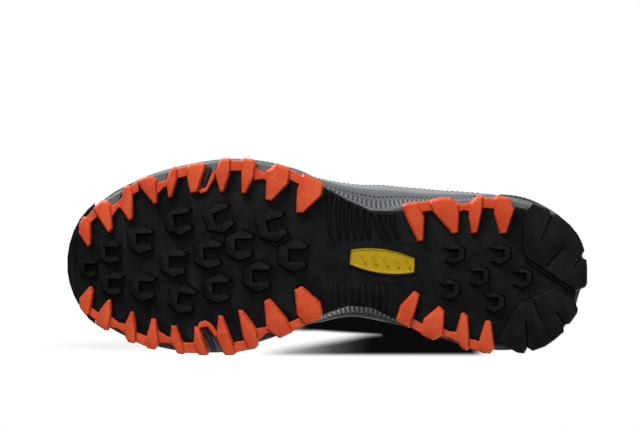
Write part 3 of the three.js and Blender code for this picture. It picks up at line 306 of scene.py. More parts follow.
def blend_of(tree, share, first, second):
    """A colour between two others; in the colour mix, inputs 6 and 7 and output 2 are its colours."""
    return node(tree, "Mix", {0: share, 6: first, 7: second}, data_type="RGBA").outputs[2]


def grain_group():
    """Fine grain and broad cloudiness: two noises of the object's place, the first at Scale per metre."""
    group = new_group(
        "grain",
        [
            ("Scale", "Float", 900.0), ("Dark", "Color", (0, 0, 0, 1)), ("Light", "Color", (1, 1, 1, 1)),
            ("Smooth", "Float", 0.4), ("Rough", "Float", 0.6),
        ],
        [("Color", "Color"), ("Roughness", "Float"), ("Height", "Float")],
    )
    given, put = group.nodes["Group Input"].outputs, group.nodes["Group Output"].inputs
    place = node(group, "TexCoord").outputs[OBJECT]
    settings = {"Vector": place, "Scale": given["Scale"], "Detail": 3.0, "Roughness": 0.6}
    fine = node(group, "TexNoise", settings)
    broad = node(group, "TexNoise", {"Vector": place, "Scale": 38.0, "Detail": 2.0})
    clouds = math_of(group, "MULTIPLY", broad.outputs["Fac"], 0.45)
    both = math_of(group, "MULTIPLY_ADD", fine.outputs["Fac"], 0.55, clouds)
    share = node(group, "MapRange", {"Value": both, "From Min": 0.36, "From Max": 0.64}).outputs["Result"]
    span = {"From Min": 0.3, "From Max": 0.7, "To Min": given["Smooth"], "To Max": given["Rough"]}
    rough = node(group, "MapRange", {"Value": broad.outputs["Fac"], **span})
    group.links.new(blend_of(group, share, given["Dark"], given["Light"]), put["Color"])
    group.links.new(rough.outputs["Result"], put["Roughness"])
    group.links.new(fine.outputs["Fac"], put["Height"])
    return group


def edge_wear_and_light_group():
    """Lighter edges and coloured hollows, where the surface turns outwards or inwards, broken up by noise. The
    lighter edges are scuffing and in part a painted highlight; the hollows are dirt, and painted shade in a
    material whose hollow colour is near black.
    """
    group = new_group(
        "edge_wear_and_light",
        [
            ("Color", "Color", (0, 0, 0, 1)), ("Rubbed_and_highlight", "Color", (1, 1, 1, 1)),
            ("Dust_and_shade", "Color", (0.1, 0.09, 0.08, 1)), ("Wear_and_highlight", "Float", 0.5), ("Dust_and_shade_amount", "Float", 0.2),
        ],
        [("Color", "Color"), ("Mask", "Float")],
    )
    given, put = group.nodes["Group Input"].outputs, group.nodes["Group Output"].inputs
    turn = node(group, "NewGeometry").outputs["Pointiness"]
    place = node(group, "TexCoord").outputs[OBJECT]
    patches = node(group, "TexNoise", {"Vector": place, "Scale": 160.0, "Detail": 3.0}).outputs["Fac"]
    out = node(group, "MapRange", {"Value": turn, "From Min": 0.52, "From Max": 0.6}).outputs["Result"]
    within = node(group, "MapRange", {"Value": turn, "From Min": 0.49, "From Max": 0.42}).outputs["Result"]
    broken = node(group, "MapRange", {"Value": patches, "From Min": 0.35, "From Max": 0.7}).outputs["Result"]
    rubbed_and_lit = math_of(group, "MULTIPLY", math_of(group, "MULTIPLY", out, broken), given["Wear_and_highlight"])
    dust_and_shade_share = math_of(group, "MULTIPLY", math_of(group, "MULTIPLY", within, broken), given["Dust_and_shade_amount"])
    worn_and_lit = blend_of(group, rubbed_and_lit, given["Color"], given["Rubbed_and_highlight"])
    group.links.new(blend_of(group, dust_and_shade_share, worn_and_lit, given["Dust_and_shade"]), put["Color"])
    group.links.new(rubbed_and_lit, put["Mask"])
    return group


def lattice_group():
    """A staggered lattice on the UV map in millimetres: cosine across times cosine along, from -1 to 1."""
    group = new_group(
        "lattice",
        [("Vector", "Vector", None), ("Across", "Float", 2.0), ("Along", "Float", 2.0)],
        [("Value", "Float")],
    )
    given, put = group.nodes["Group Input"].outputs, group.nodes["Group Output"].inputs
    parts = node(group, "SeparateXYZ", {0: given["Vector"]})

    def wave(place, pitch):
        """A cosine of the place, one turn for each pitch."""
        turns = math_of(group, "DIVIDE", place, pitch)
        return math_of(group, "COSINE", math_of(group, "MULTIPLY", turns, 2.0 * math.pi))

    across = wave(parts.outputs["X"], given["Across"])
    along = wave(parts.outputs["Y"], given["Along"])
    group.links.new(math_of(group, "MULTIPLY", across, along), put["Value"])
    return group


GRAIN = grain_group()
EDGE_WEAR_AND_LIGHT = edge_wear_and_light_group()
LATTICE = lattice_group()


def use(tree, group, values):
    """Places a shared group in a material and gives its output sockets; a colour is three numbers."""
    made = tree.nodes.new("ShaderNodeGroup")
    made.node_tree = group
    for key, value in values.items():
        if isinstance(value, bpy.types.NodeSocket):
            tree.links.new(value, made.inputs[key])
        else:
            made.inputs[key].default_value = (*value, 1.0) if isinstance(value, tuple) else value
    return made.outputs


def start_material(name, **sockets):
    """A material with its Principled shader; sockets are the shader's own constants."""
    material = bpy.data.materials.new(name)
    material.use_nodes = True
    tree = material.node_tree
    shader = tree.nodes["Principled BSDF"]
    for label, value in sockets.items():
        shader.inputs[label.replace("_", " ")].default_value = value
    return material, tree, shader


def darken(material, mark, colour):
    """Lays a colour over a material wherever an attribute of the mesh says so."""
    tree = material.node_tree
    shader = tree.nodes["Principled BSDF"]
    under = shader.inputs["Base Color"].links[0].from_socket
    share = node(tree, "Attribute", attribute_name=mark).outputs["Fac"]
    tree.links.new(blend_of(tree, share, under, (*colour, 1.0)), shader.inputs["Base Color"])


def raise_bump(tree, shader, height, depth):
    """Bump of a depth in metres."""
    made = node(tree, "Bump", {"Height": height, "Distance": depth, "Strength": 1.0})
    tree.links.new(made.outputs["Normal"], shader.inputs["Normal"])


def rubber(name, dark, light, rubbed_and_lit, scale=900.0, smooth=0.4, rough=0.6, wear_and_highlight=0.5, dust_and_shade=0.25, depth=0.00008,
           spec=0.3, hollow=(0.1, 0.09, 0.08)):
    """Moulded rubber: grain in the colour and the bump, lighter on its edges as scuffing and in part a painted
    highlight, and dirty in its hollows, which is painted shade where the hollow colour is near black.
    """
    material, tree, shader = start_material(name, Specular_IOR_Level=spec)
    grain = use(tree, GRAIN, {"Scale": scale, "Dark": dark, "Light": light, "Smooth": smooth, "Rough": rough})
    given = {"Color": grain["Color"], "Rubbed_and_highlight": rubbed_and_lit, "Dust_and_shade": hollow, "Wear_and_highlight": wear_and_highlight, "Dust_and_shade_amount": dust_and_shade}
    worn_and_lit = use(tree, EDGE_WEAR_AND_LIGHT, given)
    tree.links.new(worn_and_lit["Color"], shader.inputs["Base Color"])
    tree.links.new(grain["Roughness"], shader.inputs["Roughness"])
    raise_bump(tree, shader, grain["Height"], depth)
    return material


def suede(name, dark, light, sheen=0.35):
    """Brushed suede: a short nap as fine grain, with broad cloudy brush marks."""
    material, tree, shader = start_material(
        name, Specular_IOR_Level=0.15, Sheen_Weight=sheen, Sheen_Roughness=0.5
    )
    grain = use(tree, GRAIN, {"Scale": 1900.0, "Dark": dark, "Light": light, "Smooth": 0.85, "Rough": 0.98})
    tree.links.new(grain["Color"], shader.inputs["Base Color"])
    tree.links.new(grain["Roughness"], shader.inputs["Roughness"])
    raise_bump(tree, shader, grain["Height"], 0.00012)
    return material


def fabric(name, thread, hollow, across, along, turn=0.0, low=0.1, high=0.7, depth=0.00025, rough=0.9,
           sheen=0.3):
    """Woven or knitted cloth: threads and hollows from the lattice, with a little fluff in the colour."""
    material, tree, shader = start_material(
        name, Specular_IOR_Level=0.2, Sheen_Weight=sheen, Sheen_Roughness=0.4, Roughness=rough
    )
    place = node(tree, "TexCoord").outputs[UV]
    if turn:
        place = node(tree, "Mapping", {"Vector": place, "Rotation": (0.0, 0.0, turn)}).outputs[0]
    value = use(tree, LATTICE, {"Vector": place, "Across": across, "Along": along})["Value"]
    span = {"Value": value, "From Min": low, "From Max": high}
    sunk = node(tree, "MapRange", span, interpolation_type="SMOOTHSTEP").outputs["Result"]
    dark, light = tuple(0.7 * c for c in thread), tuple(1.3 * c for c in thread)
    fluff = use(tree, GRAIN, {"Scale": 2400.0, "Dark": dark, "Light": light})
    tree.links.new(blend_of(tree, sunk, fluff["Color"], (*hollow, 1.0)), shader.inputs["Base Color"])
    height = math_of(tree, "MULTIPLY_ADD", sunk, -1.0, math_of(tree, "MULTIPLY", fluff["Height"], 0.3))
    raise_bump(tree, shader, height, depth)
    return material


def metal(name, colour, smooth, rough):
    """Plated metal: brushed by fine grain, brighter where the plating has rubbed."""
    material, tree, shader = start_material(name, Metallic=1.0)
    shade = tuple(0.8 * c for c in colour)
    brush = {"Scale": 1500.0, "Dark": shade, "Light": colour, "Smooth": smooth, "Rough": rough}
    grain = use(tree, GRAIN, brush)
    wear_and_highlight = {"Color": grain["Color"], "Rubbed_and_highlight": (0.5, 0.5, 0.48), "Wear_and_highlight": 0.7, "Dust_and_shade_amount": 0.1}
    tree.links.new(use(tree, EDGE_WEAR_AND_LIGHT, wear_and_highlight)["Color"], shader.inputs["Base Color"])
    tree.links.new(grain["Roughness"], shader.inputs["Roughness"])
    raise_bump(tree, shader, grain["Height"], 0.00002)
    return material


# In each rubber below, the third colour lightens the edges: scuffing, and in part a painted highlight on the
# edges of the lugs.
BLACK_RUBBER = rubber(
    "black_rubber", (0.0028, 0.0031, 0.0033), (0.0052, 0.0057, 0.006), (0.014, 0.015, 0.016),
    wear_and_highlight=0.5, dust_and_shade=0.03, smooth=0.4, rough=0.58, spec=0.13,
)
ORANGE_RUBBER = rubber(
    "orange_rubber", (0.54, 0.044, 0.011), (0.8, 0.105, 0.032), (0.8, 0.15, 0.06),
    scale=1250.0, smooth=0.5, rough=0.65, wear_and_highlight=0.4, dust_and_shade=0.0, depth=0.0004, spec=0.15,
)
BADGE_YELLOW = rubber(
    "badge_yellow", (0.45, 0.28, 0.006), (0.55, 0.36, 0.01), (0.62, 0.45, 0.05),
    scale=700.0, smooth=0.35, rough=0.5, wear_and_highlight=0.3, dust_and_shade=0.0, spec=0.15,
)
BAR_RUBBER = rubber(
    "bar_rubber", (0.018, 0.019, 0.02), (0.03, 0.031, 0.033), (0.1, 0.1, 0.105),
    smooth=0.25, rough=0.4, wear_and_highlight=0.6, dust_and_shade=0.0, spec=0.5,
)
# The foam's hollow colour is near black and laid on in full: painted shade in its hollows, not dirt.
GREY_FOAM = rubber(
    "grey_foam", (0.105, 0.112, 0.118), (0.16, 0.168, 0.175), (0.26, 0.27, 0.275),
    scale=1300.0, smooth=0.6, rough=0.8, wear_and_highlight=0.6, dust_and_shade=1.0, spec=0.25, hollow=(0.01, 0.01, 0.011),
)
# Painted shade: the slanted grooves beside the arch and the channel of the stitches are darkened to near
# black.
darken(GREY_FOAM, "groove", (0.018, 0.019, 0.02))
BLACK_OVERLAY = rubber(
    "black_overlay", (0.012, 0.0125, 0.0135), (0.022, 0.023, 0.025), (0.07, 0.07, 0.072),
    scale=1500.0, smooth=0.5, rough=0.7, wear_and_highlight=0.4, dust_and_shade=0.2, depth=0.00012,
)
GREY_SUEDE = suede("grey_suede", (0.12, 0.127, 0.135), (0.21, 0.22, 0.23))
CHARCOAL_SUEDE = suede("charcoal_suede", (0.03, 0.032, 0.035), (0.065, 0.068, 0.073))
MESH_CLOTH = fabric(
    "mesh_cloth", (0.03, 0.032, 0.035), (0.004, 0.004, 0.005), 2.6, 2.2,
    low=0.05, high=0.55, depth=0.0004, sheen=0.06,
)
COLLAR_CLOTH = fabric(
    "collar_cloth", (0.025, 0.026, 0.029), (0.014, 0.0145, 0.016), 2.2, 2.2,
    low=-0.3, high=0.9, depth=0.00018, sheen=0.4,
)
LINING_CLOTH = fabric(
    "lining_cloth", (0.035, 0.036, 0.039), (0.013, 0.013, 0.015), 1.8, 1.8, low=-0.2, high=0.8,
)
INSOLE_CLOTH = fabric(
    "insole_cloth", (0.06, 0.063, 0.068), (0.025, 0.026, 0.029), 1.2, 1.2, low=-0.5, high=0.9, depth=0.00015,
)
LACE_BRAID = fabric(
    "lace_braid", (0.06, 0.062, 0.066), (0.012, 0.012, 0.013), 1.7, 2.6,
    turn=math.radians(45), low=-0.2, high=0.8, depth=0.0003,
)
ORANGE_WEBBING = fabric(
    "orange_webbing", (0.56, 0.085, 0.035), (0.3, 0.03, 0.012), 1.4, 1.0, low=-0.2, high=0.9, depth=0.0003,
)
BLACK_THREAD = suede("black_thread", (0.008, 0.008, 0.009), (0.02, 0.02, 0.022))
GREY_THREAD = suede("grey_thread", (0.2, 0.21, 0.22), (0.32, 0.33, 0.34))
GUNMETAL = metal("gunmetal", (0.13, 0.135, 0.14), 0.25, 0.4)
FIBRE_BOARD = rubber(
    "fibre_board", (0.25, 0.22, 0.17), (0.34, 0.31, 0.25), (0.4, 0.37, 0.3),
    scale=500.0, smooth=0.8, rough=0.95, wear_and_highlight=0.2, dust_and_shade=0.1,
)
NYLON_PLATE = rubber(
    "nylon_plate", (0.016, 0.017, 0.018), (0.026, 0.027, 0.028), (0.06, 0.06, 0.06), smooth=0.35, rough=0.5,
)


# ---------------------------------------------------------------- meshes from whole arrays

def signed_volume(points, quads):
    """Six times the volume inside the quads, positive when they face outwards."""
    a, b, c, d = (points[quads[:, k]] for k in range(4))
    return float(np.sum(a * np.cross(b, c)) + np.sum(a * np.cross(c, d)))


def piece(name, points, quads, material, body, replaces=(), uv=None, caps=(), sharp=50.0):
    """A finished piece from pattern points (n, 3), quads (m, 4) and caps, lists of vertex numbers.

    uv gives each point its place on the cloth, in millimetres."""
    points = np.asarray(points, dtype=float)
    if signed_volume(points - points.mean(axis=0), quads) < 0:
        quads = quads[:, ::-1]
        caps = [list(cap)[::-1] for cap in caps]
    mesh = bpy.data.meshes.new(name)
    mesh.from_pydata(to_world(points).tolist(), [], quads.tolist() + [list(map(int, c)) for c in caps])
    mesh.materials.append(material)
    mesh.polygons.foreach_set("use_smooth", np.ones(len(mesh.polygons), dtype=bool))
    mesh.set_sharp_from_angle(angle=math.radians(sharp))
    if uv is not None:
        corners = np.empty(len(mesh.loops), dtype=np.int64)
        mesh.loops.foreach_get("vertex_index", corners)
        layer = mesh.uv_layers.new(name="cloth")
        layer.data.foreach_set("uv", np.asarray(uv, dtype=np.float32)[corners].ravel())
    thing = bpy.data.objects.new(name, mesh)
    bpy.context.collection.objects.link(thing)
    if body:
        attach(thing, body)
    if replaces:
        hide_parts(*replaces)
    return thing


def grid_quads(rows, columns, close_rows=False, close_columns=False, first=0):
    """Quads of a grid of points numbered row by row, joined end to end where asked."""
    i = np.arange(rows if close_rows else rows - 1)
    j = np.arange(columns if close_columns else columns - 1)
    i, j = np.meshgrid(i, j, indexing="ij")
    ahead, beside = (i + 1) % rows, (j + 1) % columns
    corners = [(i, j), (ahead, j), (ahead, beside), (i, beside)]
    quads = np.stack([row * columns + column for row, column in corners], axis=-1)
    return quads.reshape(-1, 4) + first


def sheet_quads(rows, columns):
    """Quads of a closed sheet: an outer grid, an inner grid of the same size, and the rim between them."""
    count = rows * columns
    outer = grid_quads(rows, columns)
    number = np.arange(count).reshape(rows, columns)
    rim = np.concatenate([number[0, :-1], number[:-1, -1], number[-1, :0:-1], number[:0:-1, 0]])
    after = np.roll(rim, -1)
    wall = np.stack([rim, after, after + count, rim + count], axis=-1)
    return np.concatenate([outer, outer[:, ::-1] + count, wall])


def sheet_piece(name, outer, inner, material, body, replaces=(), uv=None, sharp=50.0):
    """A closed sheet between two grids of pattern points (rows, columns, 3)."""
    rows, columns = outer.shape[:2]
    points = np.concatenate([outer.reshape(-1, 3), inner.reshape(-1, 3)])
    quads = sheet_quads(rows, columns)
    if uv is not None:
        flat = uv.reshape(-1, 2)
        uv = np.concatenate([flat, flat])
    return piece(name, points, quads, material, body, replaces, uv, sharp=sharp)


def arc_lengths(line):
    """Length along a line of points up to each of them."""
    return np.concatenate([[0.0], np.cumsum(np.linalg.norm(np.diff(line, axis=0), axis=1))])


def resample(line, places, *others):
    """The line, and arrays that go with its points, read at given lengths along it."""
    lengths = arc_lengths(line)
    return [
        np.stack([np.interp(places, lengths, column) for column in values.T], axis=1)
        for values in (line, *others)
    ]


def unit(vectors):
    """Vectors brought to length 1."""
    return vectors / np.maximum(np.linalg.norm(vectors, axis=-1, keepdims=True), 1e-9)


def frames_along(line, hint):
    """Two directions across a line at each of its points; the first is turned along smoothly from the hint."""
    tangent = unit(np.gradient(line, axis=0))
    across = np.empty_like(line)
    side = np.cross(tangent[0], hint)
    for k, way in enumerate(tangent):  # each step carries the last one over, so that the cord doesn't twist
        side = side - way * np.dot(side, way)
        side = side / max(np.linalg.norm(side), 1e-9)
        across[k] = side
    return across, np.cross(tangent, across)


# ---------------------------------------------------------------- the sole's outlines and heights

LUG_DEPTH = 5.0
PLATE_TOP = 8.0
GAP = 0.3
MIDSOLE_BOTTOM = PLATE_TOP + GAP
HEEL_STACK = 24.7
TOE_STACK = 10.7
TOE_SPRING = 12.0
FEATHER_INSET = 2.0

# Points are [distance forward, x], lateral side from heel to toe and medial side back.
MIDSOLE_LOW = [
    [1, -2], [3, 10], [9, 21.5], [18, 30], [30, 35], [42, 38], [56, 39.5], [70, 38.5], [91, 37], [107, 35],
    [120, 32.5], [130, 36], [140, 40.5], [151, 46], [165, 54], [180, 58], [195, 60.5], [210, 60.5],
    [225, 58.5], [240, 55], [255, 50], [268, 43], [280, 35], [288, 27], [293, 18], [295.8, 8], [296.4, 0],
    [295.6, -8], [292, -18], [285.5, -28], [275, -36], [262, -42.5], [248, -46.5], [235, -49], [220, -50],
    [205, -49.3], [190, -44.5], [178, -40.5], [165, -35.5], [152, -29.5], [142, -24.5], [132, -22.8],
    [120, -25.5], [110, -31], [98, -37], [85, -41], [70, -46], [55, -48.5], [42, -48.5], [30, -46.5],
    [20, -42], [12, -35], [7, -27], [4, -17], [1.5, -9],
]
LATERAL_FILL = {91: 39.5, 107: 41.2, 120: 42, 130: 43, 140: 44.5, 151: 47.3}
MEDIAL_FILL = {152: -33.5, 142: -31.5, 132: -31, 120: -32.5, 110: -35}
MIDSOLE_HIGH = [[s, (LATERAL_FILL if x > 0 else MEDIAL_FILL).get(s, x)] for s, x in MIDSOLE_LOW]


def spring(y):
    """Lift of the curved toe."""
    return TOE_SPRING * np.clip((-y - 205.0) / 95.0, 0.0, None) ** 2


def midsole_top(y):
    """Height of the midsole's top, which falls smoothly from the heel to the toe and lifts with the toe."""
    taper = (HEEL_STACK - TOE_STACK) * (1.0 - smoothstep(-y, 45.0, 295.0))
    return MIDSOLE_BOTTOM + TOE_STACK + taper + spring(y)


def spline(points, share, closed=False):
    """A centripetal Catmull-Rom curve through the points: cubics whose slopes weigh each gap by the square
    root of its length. share runs from 0 to 1 over the whole curve. points is (count, axes), or
    (count, shares, axes) where each share is read on a curve of its own."""
    points = np.asarray(points, dtype=float)
    share = np.asarray(share, dtype=float)
    count = len(points)
    if closed:
        place = (share.ravel() % 1.0) * count
        first = np.minimum(np.floor(place).astype(int), count - 1)
        index = (first[:, None] + np.arange(-1, 3)) % count
    else:
        points = np.concatenate([2 * points[:1] - points[1:2], points, 2 * points[-1:] - points[-2:-1]])
        place = np.clip(share.ravel(), 0.0, 1.0) * (count - 1)
        first = np.minimum(np.floor(place).astype(int), count - 2)
        index = first[:, None] + np.arange(4)
    own = (np.arange(share.size),) if points.ndim == 3 else ()
    knots = np.stack([points[(index[:, k], *own)] for k in range(4)])
    before, start, stop, after = knots
    g0, g1, g2 = np.maximum(np.linalg.norm(np.diff(knots, axis=0), axis=2) ** 0.5, 1e-2)[..., None]
    leave = g1 * ((start - before) / g0 - (stop - before) / (g0 + g1) + (stop - start) / g1)
    arrive = g1 * ((stop - start) / g1 - (after - start) / (g1 + g2) + (after - stop) / g2)
    t = (place - first)[:, None]
    made = (
        start + leave * t + (3 * (stop - start) - 2 * leave - arrive) * t**2
        + (2 * (start - stop) + leave + arrive) * t**3
    )
    return made.reshape(*share.shape, points.shape[-1])


def outline(rows, share):
    """Plan points of a closed sole outline at shares of the way round it."""
    rows = np.asarray(rows, dtype=float)
    return spline(np.stack([rows[:, 1], -rows[:, 0]], axis=1), share, closed=True)


def outward(ring):
    """Plan normals of a closed ring that runs from the heel up the lateral side."""
    way = np.roll(ring, -1, axis=0) - np.roll(ring, 1, axis=0)
    return unit(np.stack([-way[:, 1], way[:, 0]], axis=1))


class Edge:
    """x of one side of a closed outline at a given y."""

    def __init__(self, ring, side):
        heel, toe = int(np.argmax(ring[:, 1])), int(np.argmin(ring[:, 1]))
        turned = np.roll(ring, -heel, axis=0)
        toe = (toe - heel) % len(ring)
        run = turned[: toe + 1] if side > 0 else np.vstack([turned[toe:], turned[:1]])[::-1]
        order = np.argsort(run[:, 1], kind="stable")
        self.y, self.x = run[order, 1], run[order, 0]

    def at(self, y):
        """The point of the side at y, or its end where the side is shorter."""
        y = float(np.clip(y, self.y[0], self.y[-1]))
        return np.array([np.interp(y, self.y, self.x), y])


def strips(count):
    """Quads that close a ring of points: each on one side joined to its partner on the other."""
    k = np.arange(1, count // 2 - 1)
    quads = np.stack([k, k + 1, count - k - 1, count - k], axis=1)
    return quads, [[0, 1, count - 1], [count // 2 - 1, count // 2, count // 2 + 1]]


def ring_stack(rings):
    """Points, quads and caps of a solid that rises through rings of the same number of points."""
    levels, count = len(rings), len(rings[0])
    points = np.concatenate(rings)
    wall = grid_quads(levels, count, close_columns=True)
    quads, ends = strips(count)
    last = (levels - 1) * count
    caps = [end[::-1] for end in ends] + [[last + k for k in end] for end in ends]
    return points, np.concatenate([wall, quads[:, ::-1], quads + last]), caps


# ---------------------------------------------------------------- sole

ROUNDING_STEPS = 2
ROUNDING_ANGLE = math.radians(28.0)  # edges sharper than this are rounded off


def refined_copy(node_name, material, width):
    """A merged copy of a CAD node with its flat faces joined up and its edges rounded off."""
    work = bmesh.new()
    work.from_mesh(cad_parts[node_name].data)
    bmesh.ops.remove_doubles(work, verts=work.verts, dist=1e-5)
    bmesh.ops.dissolve_limit(
        work, angle_limit=math.radians(1.0), verts=work.verts, edges=work.edges, delimit={"NORMAL"}
    )
    mesh = bpy.data.meshes.new(node_name + "_skin")
    work.to_mesh(mesh)
    work.free()
    mesh.materials.append(material)
    thing = bpy.data.objects.new(node_name + "_skin", mesh)
    bpy.context.collection.objects.link(thing)
    mesh.polygons.foreach_set("use_smooth", np.ones(len(mesh.polygons), dtype=bool))
    bevel = thing.modifiers.new("rounded_edges", "BEVEL")
    bevel.width = width
    bevel.segments = ROUNDING_STEPS
    bevel.limit_method = "ANGLE"
    bevel.angle_limit = ROUNDING_ANGLE
    bevel.harden_normals = True
    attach(thing, "boot")
    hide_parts(node_name)


MIDSOLE_POINTS = 1500
GROOVE_PITCH = 2.7
GROOVE_DEPTH = 0.9
GROOVE_SLANT = 1.3  # forward for each millimetre up
STITCH_LINE = 0.72  # height of the row of stitches up the midsole's wall, as a share
WALL_LEVELS = [
    0.0, 0.03, 0.07, 0.12, 0.2, 0.3, 0.4, 0.5, 0.57, 0.61, 0.65, 0.69, 0.72, 0.75, 0.78, 0.82, 0.88, 0.93,
    0.97, 1.0,
]


def arch_mask(ring):
    """1 beside the arch, where the midsole's wall is grooved, and 0 under the ball and the heel."""
    s = -ring[:, 1]
    return smoothstep(s, 60.0, 70.0) * (1.0 - smoothstep(s, 158.0, 168.0))


def midsole_ring(share, q):
    """The midsole's wall at height share q: between its outlines, round at the foot, drawn in at the
    waist, grooved on the slant beside the arch, and with a lip at the top."""
    low, high = outline(MIDSOLE_LOW, share), outline(MIDSOLE_HIGH, share)
    ring = low + (high - low) * q
    out = outward(ring)
    mask = arch_mask(ring)
    z = (MIDSOLE_BOTTOM + spring(ring[:, 1])) * (1 - q) + midsole_top(ring[:, 1]) * q
    push = -0.9 * max(0.0, 1.0 - q / 0.08) ** 2 - 0.5 * math.sin(math.pi * min(q / STITCH_LINE, 1.0))
    slant = np.sin(math.pi * (-ring[:, 1] - GROOVE_SLANT * z) / GROOVE_PITCH) ** 6
    grooved = GROOVE_DEPTH * slant * mask * smoothstep(q, 0.02, 0.1) * (1.0 - smoothstep(q, 0.58, 0.66))
    channel = 0.7 * math.exp(-(((q - STITCH_LINE) / 0.035) ** 2)) * mask
    lip = 0.55 * smoothstep(q, 0.76, 0.82) * (1.0 - smoothstep(q, 0.93, 1.0))
    ring = ring + out * (push + lip - grooved - channel)[:, None]
    # The second value marks the grooves and the stitch channel for painted shade in the foam's colour.
    return np.column_stack([ring, z]), np.clip(0.9 * grooved / GROOVE_DEPTH + 0.35 * channel, 0.0, 1.0)


def make_midsole():
    """The foam wall as a stack of rings, closed below and, inside its lip, on top."""
    share = np.arange(MIDSOLE_POINTS) / MIDSOLE_POINTS
    rings, groove_shades = zip(*[midsole_ring(share, q) for q in WALL_LEVELS])
    inset = rings[-1].copy()
    inset[:, :2] -= outward(inset[:, :2]) * 4.0
    points, quads, caps = ring_stack([*rings, inset])
    made = piece("midsole_foam", points, quads, GREY_FOAM, "boot", ["midsole"], caps=caps,
                 sharp=60.0)
    # The groove attribute carries the painted shade of the grooves and the stitch channel.
    marks = np.concatenate([*groove_shades, np.zeros(len(share))])
    made.data.attributes.new("groove", "FLOAT", "POINT").data.foreach_set("value", marks)


# The bars of the midsole in the tread's slots, each between two points [distance forward, x].
SLOT_BARS = [([216, 57.6], [219.9, 47.6]), ([219, -37], [213.4, -48.6])]
SLOT_BAR_HALF = 1.3
SLOT_BAR_RISE = 3.0
SLOT_BAR_HEIGHT = 6.2


def make_slot_bars():
    """The two bars of the midsole that show in the tread's slots: ellipses carried along a slanted line,
    drawn in at both ends."""
    t = np.linspace(0.0, 1.0, 9)[:, None]
    angle = np.linspace(0.0, 2 * math.pi, 16, endpoint=False)
    count = len(angle)
    taper = np.sqrt(np.clip(1 - (2 * np.abs(t - 0.5)) ** 6, 0.12, 1))
    for k, (a, b) in enumerate(SLOT_BARS):
        line = np.array([[a[1], -a[0]]]) * (1 - t) + np.array([[b[1], -b[0]]]) * t
        way = unit(np.array([b[1] - a[1], a[0] - b[0]]))
        side = np.array([-way[1], way[0]])
        across = np.cos(angle)[None, :] * SLOT_BAR_HALF * taper
        flat = line[:, None, :] + side * across[..., None]
        z = SLOT_BAR_HEIGHT + np.sin(angle)[None, :] * SLOT_BAR_RISE + spring(flat[..., 1])
        points = np.concatenate([flat, z[..., None]], axis=-1).reshape(-1, 3)
        caps = [list(range(count)), list(range(len(points) - count, len(points)))[::-1]]
        quads = grid_quads(len(t), count, close_columns=True)
        piece(f"slot_bar_{k + 1}", points, quads, BAR_RUBBER, "boot", caps=caps)


# Where the flutes of the arch rise from the edge, as [distance forward, x], and the x where they run out.
FLUTES = [
    (15.5, [
        [147, 44], [142, 41], [137.5, 38.5], [133, 36], [129, 34], [125, 32.5], [121, 31], [117, 31],
        [112, 31.2],
    ]),
    (-9.5, [
        [144, -24], [140, -22.4], [136, -21.6], [132, -21], [128, -21.4], [124, -22.4], [120, -24],
        [116, -26],
    ]),
]
FLUTE_SLANT = 4.0  # the rear flutes on the lateral side run back by this much
FLUTE_SLANT_BEHIND = 122.0


def make_flutes():
    """Soft ridges that fan over the arch: ellipses carried from the edge inwards, narrower as they go, that
    sink into the plate at their inner end."""
    t = np.linspace(0.0, 1.0, 26)
    angle = np.arange(18) * 2 * math.pi / 18
    number = 0
    points, quads, caps = [], [], []
    for stop, roots in FLUTES:
        for s, x in roots:
            slant = FLUTE_SLANT if stop > 0 and s < FLUTE_SLANT_BEHIND else 0.0
            line = np.column_stack([x + (stop - x) * t, -s + slant * t - 0.9 * np.sin(math.pi * t)])
            way = unit(np.gradient(line, axis=0))
            side = np.stack([-way[:, 1], way[:, 0]], axis=1)
            end = np.sqrt(np.clip(1 - (1 - np.clip(np.minimum(t / 0.05, (1 - t) / 0.5), 0, 1)) ** 2, 0.01, 1))
            half = (2.0 - 0.9 * t) * (0.4 + 0.6 * end)
            flat = line[:, None] + side[:, None] * (np.cos(angle)[None] * half[:, None])[..., None]
            z = LUG_DEPTH + 0.2 - np.sin(angle)[None] * (2.1 * end)[:, None] + spring(flat[..., 1])
            points.append(np.concatenate([flat, z[..., None]], axis=-1).reshape(-1, 3))
            quads.append(grid_quads(len(t), len(angle), close_columns=True, first=number))
            last = number + (len(t) - 1) * len(angle)
            caps += [list(range(number, number + len(angle))), list(range(last, last + len(angle)))[::-1]]
            number += len(points[-1])
    points, quads = np.concatenate(points), np.concatenate(quads)
    piece("arch_flutes", points, quads, BLACK_RUBBER, "boot", caps=caps)


BADGE_MIDDLE = 117.5
BADGE_HALF = 18.6
BADGE_FACE = LUG_DEPTH - 0.8
BADGE_BARS = [130, 123.5, 117, 110.5, 104]
# The plate's rings from its back to its sunk field, as (drawn in by, height over the rim).
BADGE_STEPS = [
    (0.0, 2.3), (0.0, 0.35), (0.12, 0.1), (0.4, 0.0), (0.85, 0.0), (1.1, 0.12), (1.25, 0.4), (1.8, 0.45),
]


def badge_line(s):
    """x of the badge's middle line, which leans over its length."""
    return 1.15 + 0.128 * (s - 99.0)


